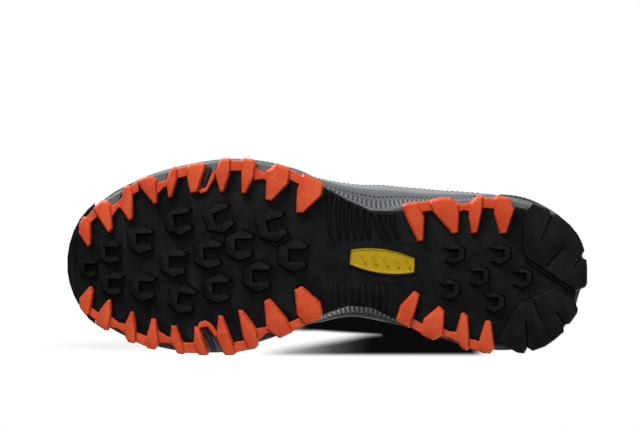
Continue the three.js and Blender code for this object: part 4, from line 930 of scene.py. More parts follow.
def make_badge():
    """A barrel-shaped plate with a raised rim, and plain slanted bars on its field."""
    u = np.linspace(-1.0, 1.0, 41)
    s = BADGE_MIDDLE + BADGE_HALF * u
    tall = 7.1 - 2.9 * u**2
    lateral = np.column_stack([badge_line(s) + tall, -s])
    medial = np.column_stack([badge_line(s) - tall, -s])[::-1]
    heel_end = 0.5 * (lateral[:1] + medial[-1:])
    toe_end = 0.5 * (lateral[-1:] + medial[:1])
    ring = np.concatenate([heel_end, lateral, toe_end, medial])
    middle = np.array([badge_line(BADGE_MIDDLE), -BADGE_MIDDLE])
    size = np.array([7.0, BADGE_HALF])
    rings = [
        np.column_stack([middle + (ring - middle) * (1 - by / size), np.full(len(ring), BADGE_FACE + z)])
        for by, z in BADGE_STEPS
    ]
    points, quads, caps = ring_stack(rings)
    t = np.linspace(0, 1, 15)
    angle = np.arange(12) * math.pi / 6
    for at in BADGE_BARS:
        low = badge_line(at) - 3.3
        line = np.column_stack([low + 6.4 * (1 - t), -(at - 2.8 * t)])
        way = unit(line[1] - line[0])
        side = np.array([-way[1], way[0]])
        end = np.sqrt(np.clip(1 - np.abs(2 * t - 1) ** 12, 0.02, 1))
        flat = line[:, None] + side * (np.cos(angle)[None] * 0.8 * end[:, None])[..., None]
        z = BADGE_FACE + 0.45 - np.sin(angle)[None] * 0.8 * end[:, None]
        first = len(points)
        points = np.concatenate([points, np.concatenate([flat, z[..., None]], axis=-1).reshape(-1, 3)])
        quads = np.concatenate([quads, grid_quads(len(t), 12, close_columns=True, first=first)])
        last = len(points) - 12
        caps = caps + [list(range(first, first + 12)), list(range(last, last + 12))[::-1]]
    piece("badge_plate", points, quads, BADGE_YELLOW, "boot", ["sole_badge"], caps=caps,
          sharp=35.0)


BOARD_THICK = 2.0
FOOTBED_INSET = 9.5  # the midsole's edge to the footbed: the upper's layers and the room between them
FOOTBED_CUP = 3.2
# The footbed's rings from its underside to its middle, as (drawn in by, rise, share of the cup's lift).
FOOTBED_STEPS = [
    (1.4, 0.0, 0.0), (0.3, 0.6, 0.0), (0.0, 2.2, 0.3), (0.2, 4.2, 0.9), (1.2, 4.6, 1.0), (2.6, 4.4, 0.85),
    (6.0, 4.3, 0.45), (11.0, 4.3, 0.1), (15.0, 4.3, 0.0),
]


def make_insole():
    """A moulded footbed: rings drawn in from the midsole's outline, with the rim cupped up round the heel
    and its top sheet in woven cloth."""
    share = np.arange(420) / 420
    high = outline(MIDSOLE_HIGH, share)
    out = outward(high)
    base = midsole_top(high[:, 1]) + BOARD_THICK + 2 * GAP
    cup = FOOTBED_CUP * (1.0 - smoothstep(-high[:, 1], 60.0, 170.0))
    rings = [
        np.column_stack([high - out * (FOOTBED_INSET + inset), base + rise + cup * lift])
        for inset, rise, lift in FOOTBED_STEPS
    ]
    points, quads, caps = ring_stack(rings)
    piece("insole_footbed", points, quads, INSOLE_CLOTH, "insole", ["insole"],
                 uv=points[:, :2], caps=caps)


# ---------------------------------------------------------------- the upper's face

# [sole s, top s, top x, top z, low swell, low rise, high swell, high drop], heel to toe on each side
SEAMS = [
    [0, 14, 0, 148, 9, 38, -7, 42],
    [10, 19, 19, 147, 4, 38, -5, 42],
    [30, 36, 30, 144, 3.5, 38, -2, 42],
    [62, 64, 34, 141, 3, 40, 0, 42],
    [92, 92, 32, 146, 6, 42, 4, 40],
    [114, 112, 26.5, 153, 6.5, 42, 9, 34],
    [134, 131, 23, 136, 4.5, 38, 13, 20],
    [156, 152, 20.5, 116, 1.5, 34, 16, 12],
    [180, 175, 18.5, 100, 2.5, 30, 18, 8],
    [205, 196, 16.5, 88.5, 1.5, 28, 21, 5],
    [230, 208, 13.5, 83, 1, 27, 25, 4],
    [256, 213.5, 9.5, 81, 1, 28, 30, 3],
    [280, 216, 5, 80, 1.5, 30, 34, 2.5],
    [300, 217, 0, 79.5, 2, 32, 38, 2],
]
TOE_STATION = len(SEAMS) - 1
STATIONS = 2 * TOE_STATION
LACE_ROWS = [9.35, 8.55, 7.75, 6.95, 6.15, 5.4]
LACE_LINE = 0.9


def middle_x(s):
    """x of the boot's middle line, which bends over from the heel to the forefoot."""
    return -4.0 + 8.0 * smoothstep(np.asarray(s, dtype=float), 60.0, 210.0)


def seam_controls(index, side, edge):
    """The four control points of one seam, from the feather edge of the sole to the top edge."""
    sole_s, top_s, top_x, top_z, low_swell, low_rise, high_swell, high_drop = SEAMS[index]
    y = float(np.clip(-sole_s, edge.y[0], edge.y[-1]))
    foot, ahead, behind = edge.at(y), edge.at(y - 1), edge.at(y + 1)
    out = unit(np.array([side * (behind[1] - ahead[1]), side * (ahead[0] - behind[0])]))
    if index == 0:
        out = np.array([0.0, 1.0])
    if index == TOE_STATION:
        out = np.array([0.0, -1.0])
    bottom = np.array([*foot, midsole_top(foot[1]) + GAP])
    low = bottom + [out[0] * low_swell, out[1] * low_swell, low_rise]
    crest = np.array([side * top_x + middle_x(top_s), -top_s, top_z])
    away = unit(foot - crest[:2])
    high = crest + [away[0] * high_swell, away[1] * high_swell, -high_drop]
    return [bottom, low, high, crest]


def seam_curves():
    """Control points of all the seams round the boot, as four closed rows of points."""
    ring = outline(MIDSOLE_HIGH, np.arange(400) / 400)
    ring = ring - outward(ring) * FEATHER_INSET
    edges = {side: Edge(ring, side) for side in (1, -1)}
    rows = []
    for k in range(STATIONS):
        side = 1 if k <= TOE_STATION else -1
        rows.append(seam_controls(min(k, STATIONS - k), side, edges[side]))
    return np.array(rows).transpose(1, 0, 2)


SEAM_CURVES = seam_curves()


def face(w, v):
    """The outer face of the upper: a cubic Bezier in v, from the sole to the top edge, whose four control
    points each run round the boot on a closed spline, with w in stations."""
    w, v = np.broadcast_arrays(np.asarray(w, dtype=float), np.asarray(v, dtype=float))
    a, b, c, d = (spline(curve, (w % STATIONS) / STATIONS, closed=True) for curve in SEAM_CURVES)
    v = v[..., None]
    u = 1 - v
    return a * u**3 + 3 * b * u * u * v + 3 * c * u * v * v + d * v**3


def face_normal(w, v):
    """The face's outward normal, from its slopes along and up."""
    across = face(w + 0.02, v) - face(w - 0.02, v)
    up = face(w, v + 0.01) - face(w, v - 0.01)
    return unit(np.cross(up, across))


def millimetres_up(w, v):
    """How many millimetres of the face one unit of v takes."""
    return np.linalg.norm(face(w, v + 0.01) - face(w, v - 0.01), axis=1) / 0.02


def off_face(w, v, height):
    """A point of the face moved out along its normal."""
    height = np.asarray(height, dtype=float)
    return face(w, v) + face_normal(w, v) * height[..., None]


def mirrored(w):
    """The station on the other side of the boot."""
    return STATIONS - w


# ---------------------------------------------------------------- stitching

STITCH_PITCH = 3.0
STITCH_LENGTH = 2.3
STITCH_RADIUS = 0.4
STITCH_DIP = 0.3  # how far its ends go into the cloth
THREADS = {"black": BLACK_THREAD, "grey": GREY_THREAD}
stitches = {}


def stitch_shape():
    """One stitch along x: five rings of six points, thinner and lower towards both ends."""
    along = np.array([-1.0, -0.65, 0.0, 0.65, 1.0])
    thick = np.array([0.4, 0.9, 1.0, 0.9, 0.4])
    angle = np.arange(6) * math.pi / 3
    x = np.repeat(along * STITCH_LENGTH / 2, 6)
    y = (thick[:, None] * np.cos(angle)).ravel() * STITCH_RADIUS
    z = (thick[:, None] * np.sin(angle)).ravel() * STITCH_RADIUS - np.repeat(STITCH_DIP * along**2, 6)
    return np.stack([x, y, z], axis=1)


STITCH = stitch_shape()


def stitch_row(line, normals, thread, pitch=STITCH_PITCH, size=1.0):
    """Stitches laid end to end along a line on a surface, each turned to the line and the surface. size
    scales a stitch, or its length, width and height in turn."""
    total = arc_lengths(line)[-1]
    count = int(total / pitch)
    if count < 1:
        return
    places = (np.arange(count) + 0.5) * total / count
    centre, up = resample(line, places, normals)
    ahead = resample(line, np.minimum(places + 0.5, total))[0]
    behind = resample(line, np.maximum(places - 0.5, 0.0))[0]
    way = unit(ahead - behind)
    up = unit(up - way * np.sum(up * way, axis=1, keepdims=True))
    side = np.cross(up, way)
    shape = STITCH * np.asarray(size)
    points = (
        centre[:, None] + way[:, None] * shape[None, :, :1] + side[:, None] * shape[None, :, 1:2]
        + up[:, None] * shape[None, :, 2:]
    )
    stitches.setdefault(thread, []).append(points.reshape(-1, 3))


def make_stitching():
    """All stitches of one thread as one piece."""
    one = grid_quads(5, 6, close_columns=True)
    per = len(STITCH)
    for thread, rows in stitches.items():
        points = np.concatenate(rows)
        count = len(points) // per
        starts = np.arange(count)[:, None, None] * per
        quads = (one[None] + starts).reshape(-1, 4)
        caps = np.concatenate([starts[:, 0] + np.arange(6)[::-1], starts[:, 0] + 24 + np.arange(6)]).tolist()
        piece("stitching_" + thread, points, quads, THREADS[thread], "boot", caps=caps,
              sharp=180.0)


# ---------------------------------------------------------------- panels of the upper

# Layers as (inner, outer) distances off the face.
SHELL = (-2.2, 0.0)
OVERLAY_TOP = 2.1
OVERLAY = (0.5, OVERLAY_TOP)
STRAP_TOP = 1.9
STRAP = (0.35, STRAP_TOP)
GUARD_TOP = 2.4
GUARD = (0.3, GUARD_TOP)
LINING = (-5.9, -4.9)
STITCH_INSET = 2.4
THREAD_SINK = 0.05


def edge_samples(length, spacing, edge):
    """Places across a panel in millimetres, close together in its rounded edge and along its stitch line."""
    near = [0.0, 0.12 * edge, 0.4 * edge, edge, *(STITCH_INSET + step for step in (-0.5, 0.0, 0.5, 1.4))]
    near = [place for place in near if place < 0.4 * length]
    middle = np.linspace(near[-1], length - near[-1], max(2, int((length - 2 * near[-1]) / spacing) + 1))
    return np.concatenate([near[:-1], middle, length - np.array(near[:-1])[::-1]])


def panel_places(start, stop, low, high, corner, lean, spacing, edge):
    """Stations, heights, the distance to the nearest cut edge and the place on the cloth over a panel's grid.

    A panel runs from start to stop and from low(w) to high(w); near its ends its corners are rounded, and
    lean shifts its stations in proportion to the height."""
    line = np.linspace(start, stop, 60)
    width = arc_lengths(face(line, 0.5 * (low(line) + high(line))))[-1]
    along = edge_samples(width, spacing, edge)
    w = start + (stop - start) * along / width
    from_end = np.minimum(along, width - along)
    per_v = millimetres_up(w, 0.5 * (low(w) + high(w)))
    round_off = corner - np.sqrt(np.maximum(corner**2 - np.clip(corner - from_end, 0.0, corner) ** 2, 0.0))
    round_off = np.minimum(round_off, 0.45 * (high(w) - low(w)) * per_v)
    v_low, v_high = low(w) + round_off / per_v, high(w) - round_off / per_v
    tall = float(np.max(high(line) - low(line)) * np.mean(per_v))
    up = edge_samples(tall, spacing, edge) / tall
    v = v_low[:, None] + (v_high - v_low)[:, None] * up[None, :]
    height = ((v_high - v_low) * per_v)[:, None]
    inside = np.minimum(from_end[:, None], np.minimum(up[None, :] * height, (1 - up[None, :]) * height))
    w = w[:, None] + lean * (v - 0.5)
    uv = np.stack(np.broadcast_arrays(along[:, None], up[None, :] * tall), axis=-1)
    return w, v, inside, uv


def as_bound(bound):
    """A panel's edge as a function of the station, from such a function or a plain height share."""
    if callable(bound):
        return bound
    return lambda w: np.full(np.shape(w), float(bound))


def panel(name, start, stop, low, high, layer, material, replaces, slot, corner=5.0, lean=0.0, spacing=5.0,
          edge=1.2, sewn=0.3, crown=0.0):
    """A layer of the upper: its face stands at the layer's outer height, falls in a quarter round at the
    cut edges, and is drawn in a little along the line of stitches inside them."""
    w, v, inside, uv = panel_places(start, stop, as_bound(low), as_bound(high), corner, lean, spacing, edge)
    inner, outer = layer
    rise = np.sqrt(np.clip(1.0 - (1.0 - np.clip(inside / edge, 0.0, 1.0)) ** 2, 0.0, 1.0))
    groove = sewn * np.exp(-(((inside - STITCH_INSET) / 0.45) ** 2))
    puff = crown * smoothstep(inside, STITCH_INSET, STITCH_INSET + 8.0)
    height = inner + (outer - inner) * rise - groove + puff
    points, normals = face(w, v), face_normal(w, v)
    top = points + normals * height[..., None]
    under = points + normals * inner
    sheet_piece(name, top, under, material, "boot", replaces, uv, sharp=65.0)


def sew(start, stop, bound, layer, thread, inset, side=1, lean=0.0, size=1.0, pitch=STITCH_PITCH):
    """A row of stitches beside an edge of a panel: bound(w) moved up by inset, in millimetres of face."""
    w = np.linspace(start, stop, 160)
    v = as_bound(bound)(w)
    per_v = millimetres_up(w, v)
    v = v + inset / per_v
    w = w + lean * (v - 0.5)
    if side < 0:
        w = mirrored(w)
    normals = face_normal(w, v)
    stitch_row(face(w, v) + normals * (layer - THREAD_SINK), normals, thread, pitch, size)


def on_side(side, bound):
    """A bound given for the lateral side, read on either side."""
    if not callable(bound):
        return bound
    return bound if side > 0 else (lambda w: bound(mirrored(w)))


def mudguard_top(w):
    """The mudguard's upper edge: a low band that is taller beside the arch, with two scallops in it."""
    tall = smoothstep(w, 3.0, 4.0) * (1 - smoothstep(w, 6.5, 7.6))
    scallop = np.cos(2 * math.pi * (w - 5.27) / 1.17)
    return 0.17 + tall * (0.06 + 0.024 * scallop) + 0.07 * smoothstep(w, 9.2, 10.3)


def toe_cap_top(w):
    """The toe bumper's upper edge: a cosine hump over the toe."""
    return 0.21 + 0.14 * np.cos(np.clip((w - TOE_STATION) / 2.7, -1, 1) * math.pi / 2) ** 2


def counter_top(w):
    """The heel counter's upper edge: a cosine hump up the heel."""
    return 0.19 + 0.26 * np.cos(np.clip(w / 2.7, -1, 1) * math.pi / 2) ** 2


def eyestay_low(w):
    """The eyestay's lower edge: a small scallop below each row of the lace."""
    return 0.80 - 0.035 * np.cos(math.pi * (w - LACE_ROWS[0]) / 0.8) ** 2


def ankle_low(w):
    """The ankle strap's lower edge, which rises to the front in a slight bow."""
    return 0.45 + 0.08 * (w - 1) + 0.02 * np.sin((w - 1.2) * math.pi / 3.4)


def ankle_high(w):
    """The ankle strap's upper edge, closest to the lower one in the middle."""
    return ankle_low(w) + 0.16 - 0.04 * np.sin((w - 1.2) * math.pi / 3.4)


SIDES = [("lateral", 1), ("medial", -1)]


def side_panel(kind, side_name, side, start, stop, low, high, layer, material, slot, lean=0.0, **more):
    """A panel given for the lateral side, made on either side."""
    if side < 0:
        start, stop, lean = mirrored(stop), mirrored(start), -lean
    node_name = f"{kind}_{side_name}"
    panel(node_name + "_cut", start, stop, on_side(side, low), on_side(side, high), layer, material,
          [node_name], slot, lean=lean, **more)


def make_shells():
    """The mesh body of the upper, its stiff backstay and its lining."""
    for side_name, side in SIDES:
        side_panel("quarter", side_name, side, 1.52, 9.18, 0.0, 1.0, SHELL, MESH_CLOTH, "grey_mesh",
                   corner=0.5, spacing=3.5, edge=0.8, sewn=0.0, crown=0.6)
    panel("vamp_cut", 9.2, 16.8, 0.0, 1.0, SHELL, MESH_CLOTH, ["vamp"], "grey_mesh", corner=0.5,
          spacing=3.5, edge=0.8, sewn=0.0, crown=0.6)
    panel("backstay_cut", -1.5, 1.5, 0.0, 1.0, SHELL, BLACK_OVERLAY, ["backstay"], "black_overlay",
          corner=0.5, edge=0.8)
    panel("lining_cut", -9.1, 9.1, 0.05, 0.78, LINING, LINING_CLOTH, ["lining"], "black_lining", corner=2.0,
          spacing=5.0, edge=0.8, sewn=0.0)


def make_overlays():
    """The cut layers that are sewn on the mesh, with their rows of stitches."""
    panel("toe_bumper_cut", 10.4, 15.6, 0.02, toe_cap_top, GUARD, BLACK_OVERLAY, ["toe_bumper"],
          "black_overlay", corner=7.0, spacing=3.5, edge=1.8)
    panel("heel_counter_cut", -2.6, 2.6, 0.02, counter_top, GUARD, BLACK_OVERLAY, ["heel_counter"],
          "black_overlay", corner=7.0, spacing=3.5, edge=1.8)
    for inset in (-STITCH_INSET, -STITCH_INSET - 2.6):
        sew(10.6, 15.4, toe_cap_top, GUARD_TOP, "grey", inset)
        sew(-2.4, 2.4, counter_top, GUARD_TOP, "grey", inset)
    panel("tab_anchor", -0.4, 0.4, 0.76, 0.93, (-0.1, 1.85), ORANGE_WEBBING, [], "accent_webbing", corner=1.5,
          spacing=2.0, edge=0.7, sewn=0.15)
    for bound, inset in ((0.76, 1.8), (0.93, -1.8), (0.82, 0.0)):
        sew(-0.33, 0.33, bound, 1.85, "black", inset, pitch=2.6, size=0.8)
    for side_name, side in SIDES:
        guard = GREY_SUEDE if side > 0 else CHARCOAL_SUEDE
        side_panel("mudguard", side_name, side, 2.62, 10.38, 0.02, mudguard_top, OVERLAY, guard,
                   "black_overlay", spacing=2.6)
        sew(2.9, 10.1, mudguard_top, OVERLAY_TOP, "black", -STITCH_INSET, side)
        side_panel("eyestay", side_name, side, 4.75, 9.8, eyestay_low, 0.995, OVERLAY, GREY_SUEDE,
                   "charcoal_suede", corner=6.0, spacing=2.6)
        sew(4.95, 9.6, eyestay_low, OVERLAY_TOP, "black", STITCH_INSET, side)
        sew(4.95, 9.6, 0.995, OVERLAY_TOP, "black", -STITCH_INSET, side)
        side_panel("ankle_strap", side_name, side, 1.2, 4.6, ankle_low, ankle_high, OVERLAY, GREY_SUEDE,
                   "charcoal_suede", corner=9.0, spacing=3.0)
        sew(1.5, 4.35, ankle_low, OVERLAY_TOP, "black", STITCH_INSET, side)
        sew(1.5, 4.35, ankle_high, OVERLAY_TOP, "black", -STITCH_INSET, side)
        for kind, start, stop, lean in (("front_strap", 7.4, 8.1, -0.9), ("rear_strap", 5.6, 6.3, -0.7)):
            side_panel(kind, side_name, side, start, stop, 0.1, 0.84, STRAP, GREY_SUEDE, "charcoal_suede",
                       corner=3.0, lean=lean, spacing=4.0)
            for edge in (start, stop):
                sew_up(edge, 1 if edge == start else -1, 0.2, 0.78, side, lean)


def sew_up(station, way, low, high, side, lean):
    """A row of stitches up a strap, just inside one of its long edges."""
    v = np.linspace(low, high, 120)
    w = station + lean * (v - 0.5)
    per_w = np.linalg.norm(face(w + 0.05, v) - face(w - 0.05, v), axis=1) / 0.1
    w = w + way * STITCH_INSET / per_w
    if side < 0:
        w = mirrored(w)
    normals = face_normal(w, v)
    stitch_row(face(w, v) + normals * (STRAP_TOP - THREAD_SINK), normals, "black")


def sew_midsole():
    """The thick thread that runs in the channel along the midsole beside the lateral arch."""
    share = np.arange(MIDSOLE_POINTS) / MIDSOLE_POINTS
    ring = midsole_ring(share, STITCH_LINE)[0]
    out = outward(ring[:, :2])
    for side in (1, -1):
        kept = (side * (ring[:, 0] - 2.0) > 0) & (-ring[:, 1] > 62.0) & (-ring[:, 1] < 164.0)
        normals = np.column_stack([out[kept], np.full(kept.sum(), -0.3)])
        stitch_row(ring[kept] + normals * 0.3, unit(normals), "black", pitch=2.5, size=(0.72, 2.2, 1.9))


# ---------------------------------------------------------------- padded collar and tongue

PRESSURE = 3.0


def inflate(thing, free, frames, reach):
    """Lets a closed pad settle as cloth under a light pressure between its seams.

    free is 0 on the seams and 1 between them; no point moves further than reach, in millimetres."""
    mesh = thing.data
    start = np.empty(len(mesh.vertices) * 3)
    mesh.vertices.foreach_get("co", start)
    start = start.reshape(-1, 3)
    pins = thing.vertex_groups.new(name="seams")
    held = np.round(1.0 - free, 2)
    for weight in np.unique(held[held > 0]):
        pins.add(np.nonzero(held == weight)[0].tolist(), float(weight), "REPLACE")
    cloth = thing.modifiers.new("swell", "CLOTH")
    settings = cloth.settings
    settings.quality = 6
    settings.mass = 0.25
    settings.tension_stiffness = settings.compression_stiffness = 6.0
    settings.shear_stiffness = 3.0
    settings.bending_stiffness = 0.4
    settings.use_pressure = True
    settings.uniform_pressure_force = PRESSURE
    settings.vertex_group_mass = "seams"
    settings.effector_weights.gravity = 0.0
    cloth.collision_settings.use_collision = False
    scene = bpy.context.scene
    for step in range(1, frames + 1):
        scene.frame_set(step)
    shown = thing.evaluated_get(bpy.context.evaluated_depsgraph_get()).to_mesh()
    swollen = np.empty(len(start) * 3)
    shown.vertices.foreach_get("co", swollen)
    thing.evaluated_get(bpy.context.evaluated_depsgraph_get()).to_mesh_clear()
    thing.modifiers.remove(cloth)
    scene.frame_set(1)
    move = swollen.reshape(-1, 3) - start
    far = np.linalg.norm(move, axis=1, keepdims=True)
    move = move * np.minimum(1.0, reach * MM / np.maximum(far, 1e-9)) * free[:, None]
    mesh.vertices.foreach_set("co", (start + move).ravel())
    mesh.update()
    thing.vertex_groups.remove(pins)


# The collar's section as (height share up the seam, distance off the face): over the top edge of the
# shell, down its inner side and back up against the shell.
COLLAR_SECTION = [
    (0.91, 0.9), (0.94, 2.2), (0.985, 2.8), (1.02, 1.7), (1.04, -1.5), (1.045, -5.0), (1.03, -8.5),
    (0.985, -11.0), (0.92, -11.8), (0.85, -10.8), (0.79, -8.6), (0.765, -6.2), (0.79, -4.4), (0.86, -3.3),
    (0.905, -1.6),
]
COLLAR_END = 4.72
COLLAR_SEAMS = [-3.3, -1.65, 0.0, 1.65, 3.3]


def creases(place, seams, width):
    """1 on each seam, falling off on both sides as a bell of the given width."""
    return sum(np.exp(-(((place - seam) / width) ** 2)) for seam in seams)


def make_collar():
    """A stuffed roll: its closed section is carried round the top edge and shrinks to nothing at both
    ends, with sewn creases down it."""
    inside_ends = np.linspace(-COLLAR_END + 0.03, COLLAR_END - 0.03, 150)
    along = np.concatenate([[-COLLAR_END], inside_ends, [COLLAR_END]])
    round_share = np.arange(40) / 40
    section = spline(COLLAR_SECTION, round_share, closed=True)
    centre = section.mean(axis=0)
    from_end = COLLAR_END - np.abs(along)
    fat = np.sqrt(np.clip(1 - (1 - np.clip(from_end / 0.28, 0, 1)) ** 2, 0.0004, 1))
    crease = np.clip(creases(along, COLLAR_SEAMS, 0.07), 0, 1)
    fat = fat * (1 - 0.1 * crease)
    v = centre[0] + (section[None, :, 0] - centre[0]) * (0.4 + 0.6 * fat[:, None])
    height = centre[1] + (section[None, :, 1] - centre[1]) * fat[:, None]
    w = np.broadcast_to(along[:, None], v.shape)
    points = off_face(w, v, height).reshape(-1, 3)
    count = len(round_share)
    last = (len(along) - 1) * count
    caps = [list(range(count)), list(range(last, last + count))[::-1]]
    lengths = arc_lengths(face(along, 0.95))
    girth = arc_lengths(off_face(np.zeros(count), section[:, 0], section[:, 1]))
    uv = np.stack(np.broadcast_arrays(lengths[:, None], girth[None, :]), axis=-1).reshape(-1, 2)
    quads = grid_quads(len(along), count, close_columns=True)
    collar = piece("collar_pad", points, quads, COLLAR_CLOTH, "boot", ["collar"], uv, caps,
                   sharp=75.0)
    inner = smoothstep(-height, 2.4, 4.0) * (v > 0.8)
    free = inner * ((1 - crease) * smoothstep(from_end, 0.1, 0.4))[:, None]
    inflate(collar, free.ravel(), frames=14, reach=2.2)


TONGUE_LOW = 12.2
TONGUE_HIGH = 5.2
TONGUE_DEPTH = 3.1
TONGUE_TUCK = [0.86, 0.93, 1.0]  # height shares where it lies under the edges of the throat
TONGUE_RISE = 24.0
HINGE_GAP = 1.0
TONGUE_FLARE = 0.25
LEAN = np.array([0.0, 13.0, TONGUE_RISE])
CURL = np.array([0.0, 4.0, 0.0])


def tongue_point(a, b):
    """The tongue's face: across it a spline tucked under both edges of the throat and crowned between
    them, for each station of the throat from toe (b = 0) to collar (b = 1)."""
    a, b = np.broadcast_arrays(np.asarray(a, dtype=float), np.asarray(b, dtype=float))
    w = TONGUE_LOW + (TONGUE_HIGH - TONGUE_LOW) * b.ravel()
    depth = np.full(w.shape, -TONGUE_DEPTH)
    left = [off_face(mirrored(w), v, depth) for v in TONGUE_TUCK]
    right = [off_face(w, v, depth) for v in TONGUE_TUCK[::-1]]
    up = unit(face_normal(w, 1.0) + face_normal(mirrored(w), 1.0))
    crown = 6.0 - 9.0 * smoothstep(w, 8.0, 11.0)
    middle = 0.5 * (left[-1] + right[0]) + up * crown[:, None]
    return spline(np.stack([*left, middle, *right]), a.ravel()).reshape(*a.shape, 3)


def tongue_normal(a, b):
    """The normal of the tongue's face, away from the foot."""
    step = 0.01
    across = tongue_point(np.minimum(1, a + step), b) - tongue_point(np.maximum(0, a - step), b)
    up = tongue_point(a, np.minimum(1, b + step)) - tongue_point(a, np.maximum(0, b - step))
    return unit(np.cross(across, up))


def tongue_face(a, b):
    """The whole tongue: under the throat up to b = 1, then its free end, which leans back and widens."""
    under = np.clip(b, 0.0, 1.0)
    squeeze = smoothstep(under, 0.8, 1.0)
    reach = a + (0.35 + 0.3 * a - a) * squeeze
    points = tongue_point(reach, under)
    over = np.clip(b - 1.0, 0.0, None)
    centre = tongue_point(np.full(a.shape, 0.5), under)
    points[..., 0] = centre[..., 0] + (points[..., 0] - centre[..., 0]) * (1 + TONGUE_FLARE * over)
    rise = over + np.clip(over * 50, 0, 1) * HINGE_GAP / TONGUE_RISE
    return points + LEAN * rise[..., None] + CURL * over[..., None] ** 2


TONGUE_CHANNELS = [0.18, 0.36, 0.54, 0.72, 0.9, 1.3]
TONGUE_RIBS = [0.4, 0.6]


def make_tongue():
    """A quilted tongue in one piece: its face and back swell apart between sewn channels and close in a
    round edge; the free end is thicker and has rounded corners."""
    a = np.concatenate([[0, 0.01, 0.03], np.linspace(0.06, 0.94, 45), [0.97, 0.99, 1]])
    b = np.concatenate([np.linspace(0, 1, 70), np.linspace(1.02, 1.85, 26), [1.92, 1.97, 2.0]])
    a, b = np.meshgrid(a, b, indexing="ij")
    side = 1 - np.abs(2 * a - 1)
    end = np.minimum(b / 0.04, (2.0 - b) / 0.16)
    corner = np.sqrt(np.clip(1 - np.clip(1 - end, 0, 1) ** 2, 0, 1))
    narrow = 1 - 0.16 * (1 - np.sqrt(np.clip(1 - np.clip((b - 1.72) / 0.28, 0, 1) ** 2, 0, 1)))
    shaped = 0.5 + (a - 0.5) * narrow
    points = tongue_face(shaped, b)
    across = np.gradient(points, axis=0)
    upward = np.gradient(points, axis=1)
    normal = unit(np.cross(across, upward))
    rim = np.sqrt(np.clip(1 - (1 - np.clip(side / 0.12, 0, 1)) ** 2, 0, 1)) * corner
    spread = 1 + 1.6 * smoothstep(b, 0.8, 1.0)
    ribs = [0.5 + (seam - 0.5) * spread for seam in TONGUE_RIBS]
    channel = creases(b, TONGUE_CHANNELS, 0.018) + 0.8 * creases(a, ribs, 0.012)
    quilt = 1 - 0.75 * np.clip(channel, 0, 1)
    free = smoothstep(b, 0.97, 1.2)
    front = (0.9 + 2.2 * free) * rim * quilt
    back = -(3.2 + 3.0 * free) * rim
    outer = points + normal * front[..., None]
    inner = points + normal * (back[..., None] - 0.3)
    uv = np.stack([(a - 0.5) * 90.0, b * 120.0], axis=-1)
    tongue = sheet_piece("tongue_pad", outer, inner, CHARCOAL_SUEDE, None, ["tongue", "tongue_top"],
                         uv, sharp=80.0)
    slack = np.concatenate([(quilt * rim * free).ravel(), (rim * free).ravel()])
    inflate(tongue, slack, frames=12, reach=1.6)
    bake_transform(tongue)


# ---------------------------------------------------------------- lace, fittings and pull tab

LACE_RADIUS = 1.9
FITTING_WALL = 1.3
FITTING_LENGTH = 3.2
LACE_HEIGHT = OVERLAY_TOP + GAP + FITTING_WALL + GAP + LACE_RADIUS
BORE_RUN = FITTING_LENGTH / 2 + 0.2
LEAN_RUN = FITTING_LENGTH / 2 + 1.58 * LACE_RADIUS
LEAN_IN = 1.26 * LACE_RADIUS
KNOT_STATION = LACE_ROWS[-1] - 0.02
KNOT_RADIUS = 2.3 * LACE_RADIUS


def fitting_frame(w):
    """A fitting's point on the face, its normal, the way up the lace line and the way out to the side."""
    lateral = w < TOE_STATION
    point, normal = face(w, LACE_LINE), face_normal(w, LACE_LINE)
    up = unit(face(w + (-0.05 if lateral else 0.05), LACE_LINE) - point)
    return point, normal, up, np.cross(up, normal) * (1 if lateral else -1)


def over_tongue(w, clear):
    """A point over the middle of the tongue at a station of the throat."""
    b = (TONGUE_LOW - w) / (TONGUE_LOW - TONGUE_HIGH)
    half = np.array([0.5])
    return (tongue_point(half, np.array([b])) + tongue_normal(half, np.array([b])) * clear)[0]


def over_edge(w, side):
    """A point where the lace crosses the edge of the throat."""
    return off_face(w if side > 0 else mirrored(w), 1.0, OVERLAY_TOP + LACE_RADIUS + 0.7)


def lace_half(start):
    """Points of one half of the lace, bottom row to knot: through a fitting, over the tongue, and through
    the next fitting on the other side."""
    points = []
    for i, row in enumerate(LACE_ROWS):
        side = start * (-1 if i % 2 else 1)
        point, normal, up, out = fitting_frame(row if side > 0 else mirrored(row))
        point = point + normal * LACE_HEIGHT
        if i > 0:
            last = LACE_ROWS[i - 1]
            clear = LACE_RADIUS + 1.4 + (0 if start > 0 else 2 * LACE_RADIUS + 0.8)
            points.append(over_edge(last + 0.3 * (row - last), -side))
            points.append(over_tongue(0.5 * (row + last), clear))
            points.append(over_edge(last + 0.7 * (row - last), side))
        for along, away in ((-LEAN_RUN, -LEAN_IN), (-BORE_RUN, 0), (BORE_RUN, 0), (LEAN_RUN, -LEAN_IN)):
            points.append(point + up * along + out * away)
        if i == len(LACE_ROWS) - 1:
            points.append(over_edge(row - 0.16, side))
    return points


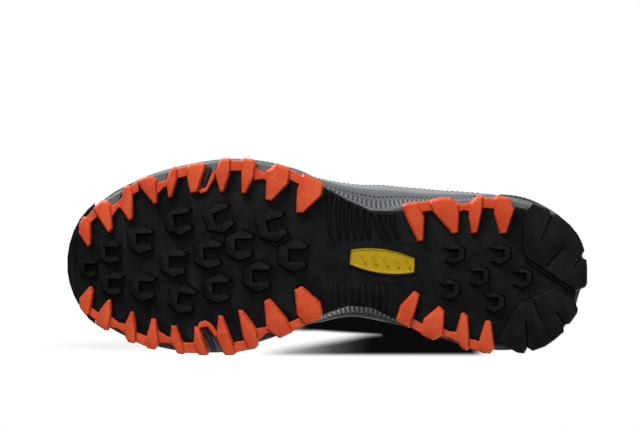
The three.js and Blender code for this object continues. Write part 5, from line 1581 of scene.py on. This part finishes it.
def tube(name, line, radius, sides, material, body, replaces, closed=False, braid=0.0, turns=0.0):
    """A cord along a line: circles across it, whose radius ripples where the strands of a braid cross."""
    across, over = frames_along(line, np.array([0.0, 0.0, 1.0]))
    angle = np.arange(sides) * 2 * math.pi / sides
    lengths = arc_lengths(line)
    strand, wind = 4 * angle[None, :], turns * lengths[:, None]
    size = radius * (1 + braid * np.cos(strand + wind) * np.cos(strand - wind))
    if not closed:
        from_end = np.minimum(lengths, lengths[-1] - lengths)
        size = size * np.sqrt(np.clip(1 - (1 - np.clip(from_end / radius, 0, 1)) ** 2, 0.02, 1))[:, None]
    points = (
        line[:, None] + across[:, None] * (np.cos(angle)[None, :] * size)[..., None]
        + over[:, None] * (np.sin(angle)[None, :] * size)[..., None]
    ).reshape(-1, 3)
    uv = np.stack(np.broadcast_arrays(angle[None, :] * radius, lengths[:, None]), axis=-1).reshape(-1, 2)
    quads = grid_quads(len(line), sides, close_rows=closed, close_columns=True)
    last = (len(line) - 1) * sides
    caps = [] if closed else [list(range(sides)), list(range(last, last + sides))[::-1]]
    piece(name, points, quads, material, body, replaces, uv, caps, sharp=80.0)


KNOT_SIZE = np.array([1.4375, 1.045, 1.3])
LACE_STEP = 0.8
BRAID_DEPTH = 0.05
BRAID_TURNS = 1.15  # how fast the strands wind round, in radians for each millimetre


def into_knot(half, knot):
    """Where an end of the lace stops inside its knot."""
    return knot + unit(half[-1] - knot) * (KNOT_RADIUS * 0.5)


def make_lace():
    """One cord from the knot down one side, over the bottom bar and up the other side; the knot is a cord
    on a trefoil curve, (sin t + 2 sin 2t, cos t - 2 cos 2t, -sin 3t), laid on the tongue's slope."""
    knot = over_tongue(KNOT_STATION, KNOT_RADIUS + GAP + 0.4)
    bar = over_tongue(LACE_ROWS[0] + 0.22, LACE_RADIUS + 1)
    first, second = lace_half(1), lace_half(-1)
    route = np.array([into_knot(first, knot), *first[::-1], bar, *second, into_knot(second, knot)])
    dense = spline(route, np.linspace(0, 1, 14 * len(route)))
    total = arc_lengths(dense)[-1]
    line = resample(dense, np.linspace(0, total, int(total / LACE_STEP)))[0]
    tube("lace_cord", line, LACE_RADIUS, 16, LACE_BRAID, "boot", ["lace"], braid=BRAID_DEPTH,
         turns=BRAID_TURNS)
    t = np.linspace(0, 2 * math.pi, 150, endpoint=False)
    trefoil = np.stack([np.sin(t) + 2 * np.sin(2 * t), np.cos(t) - 2 * np.cos(2 * t), -np.sin(3 * t)], axis=1)
    tilt = unit(np.array([0.0, 0.55, 0.85]))
    side = np.array([1.0, 0.0, 0.0])
    axes = np.stack([side, np.cross(tilt, side), tilt])
    placed = knot + (trefoil * KNOT_SIZE) @ axes
    tube("lace_knot_cord", placed, LACE_RADIUS * 0.92, 16, LACE_BRAID, "boot", ["lace_knot"],
         closed=True, braid=BRAID_DEPTH, turns=BRAID_TURNS)


TAB_WALL = 1.6


def rounded(value, exponent):
    """A sine or cosine raised to a power with its sign kept, which squares a circle off."""
    return np.sign(value) * np.abs(value) ** exponent


def make_pull_tab():
    """Webbing folded into a hanging loop: a flat band with round edges, a superellipse in section, carried
    round an upright stadium that fits the box of the tab."""
    low, high = (np.array(corner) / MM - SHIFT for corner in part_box("pull_tab"))
    radius = (high[1] - low[1] - TAB_WALL) / 2
    straight = high[2] - low[2] - (high[1] - low[1]) / 2 - TAB_WALL / 2
    arc = np.linspace(0, math.pi, 22)
    upright = np.linspace(0.35, straight, 14) - straight
    bottom = np.linspace(-1, 1, 7)[1:-1]
    front = np.stack([np.full(len(upright), -radius), upright], axis=1)
    top = np.stack([-radius * np.cos(arc), radius * np.sin(arc)], axis=1)[1:-1]
    back = np.stack([np.full(len(upright), radius), upright[::-1]], axis=1)
    foot = np.stack([-bottom * radius, np.full(len(bottom), -straight)], axis=1)
    loop = np.concatenate([front, top, back, foot])
    middle = 0.5 * (low + high)
    crown = low[2] + TAB_WALL / 2 + straight
    line = np.column_stack([np.full(len(loop), middle[0]), loop[:, 0] + middle[1], loop[:, 1] + crown])
    way = unit(np.roll(line, -1, axis=0) - np.roll(line, 1, axis=0))
    wide = np.array([1.0, 0.0, 0.0])
    thick = unit(np.cross(way, wide))
    angle = np.arange(28) * 2 * math.pi / 28
    across = rounded(np.cos(angle), 0.35) * (high[0] - low[0]) / 2
    through = rounded(np.sin(angle), 0.6) * TAB_WALL / 2
    points = line[:, None] + wide * across[None, :, None] + thick[:, None] * through[None, :, None]
    uv = np.stack(np.broadcast_arrays(across[None, :], arc_lengths(line)[:, None]), axis=-1).reshape(-1, 2)
    quads = grid_quads(len(line), len(angle), close_rows=True, close_columns=True)
    piece("pull_tab_webbing", points.reshape(-1, 3), quads, ORANGE_WEBBING, "pull_tab", ["pull_tab"],
          uv, sharp=70.0)


# ---------------------------------------------------------------- making

KEPT = {
    "shank": (NYLON_PLATE, "nylon"), "lasting_board": (FIBRE_BOARD, "stiff_board"),
    "toe_puff": (FIBRE_BOARD, "stiff_board"), "heel_stiffener": (FIBRE_BOARD, "stiff_board"),
}

RUBBER_EDGE = 0.0005
METAL_EDGE = 0.0003

bpy.context.scene.view_settings.view_transform = "Standard"
make_camera()
make_ground()
make_shade()
make_light()

refined_copy("outsole", BLACK_RUBBER, RUBBER_EDGE)
for name in sorted(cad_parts):
    if name.startswith("lug_band"):
        refined_copy(name, ORANGE_RUBBER, RUBBER_EDGE)
    if name.startswith(("lace_ring", "lace_hook")):
        refined_copy(name, GUNMETAL, METAL_EDGE)
for name, (material, slot_name) in KEPT.items():
    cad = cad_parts[name]
    cad.data.materials.clear()
    cad.data.materials.append(material)
make_midsole()
make_slot_bars()
make_flutes()
make_badge()
make_insole()
make_shells()
make_overlays()
sew_midsole()
make_stitching()
make_collar()
make_tongue()
make_lace()
make_pull_tab()
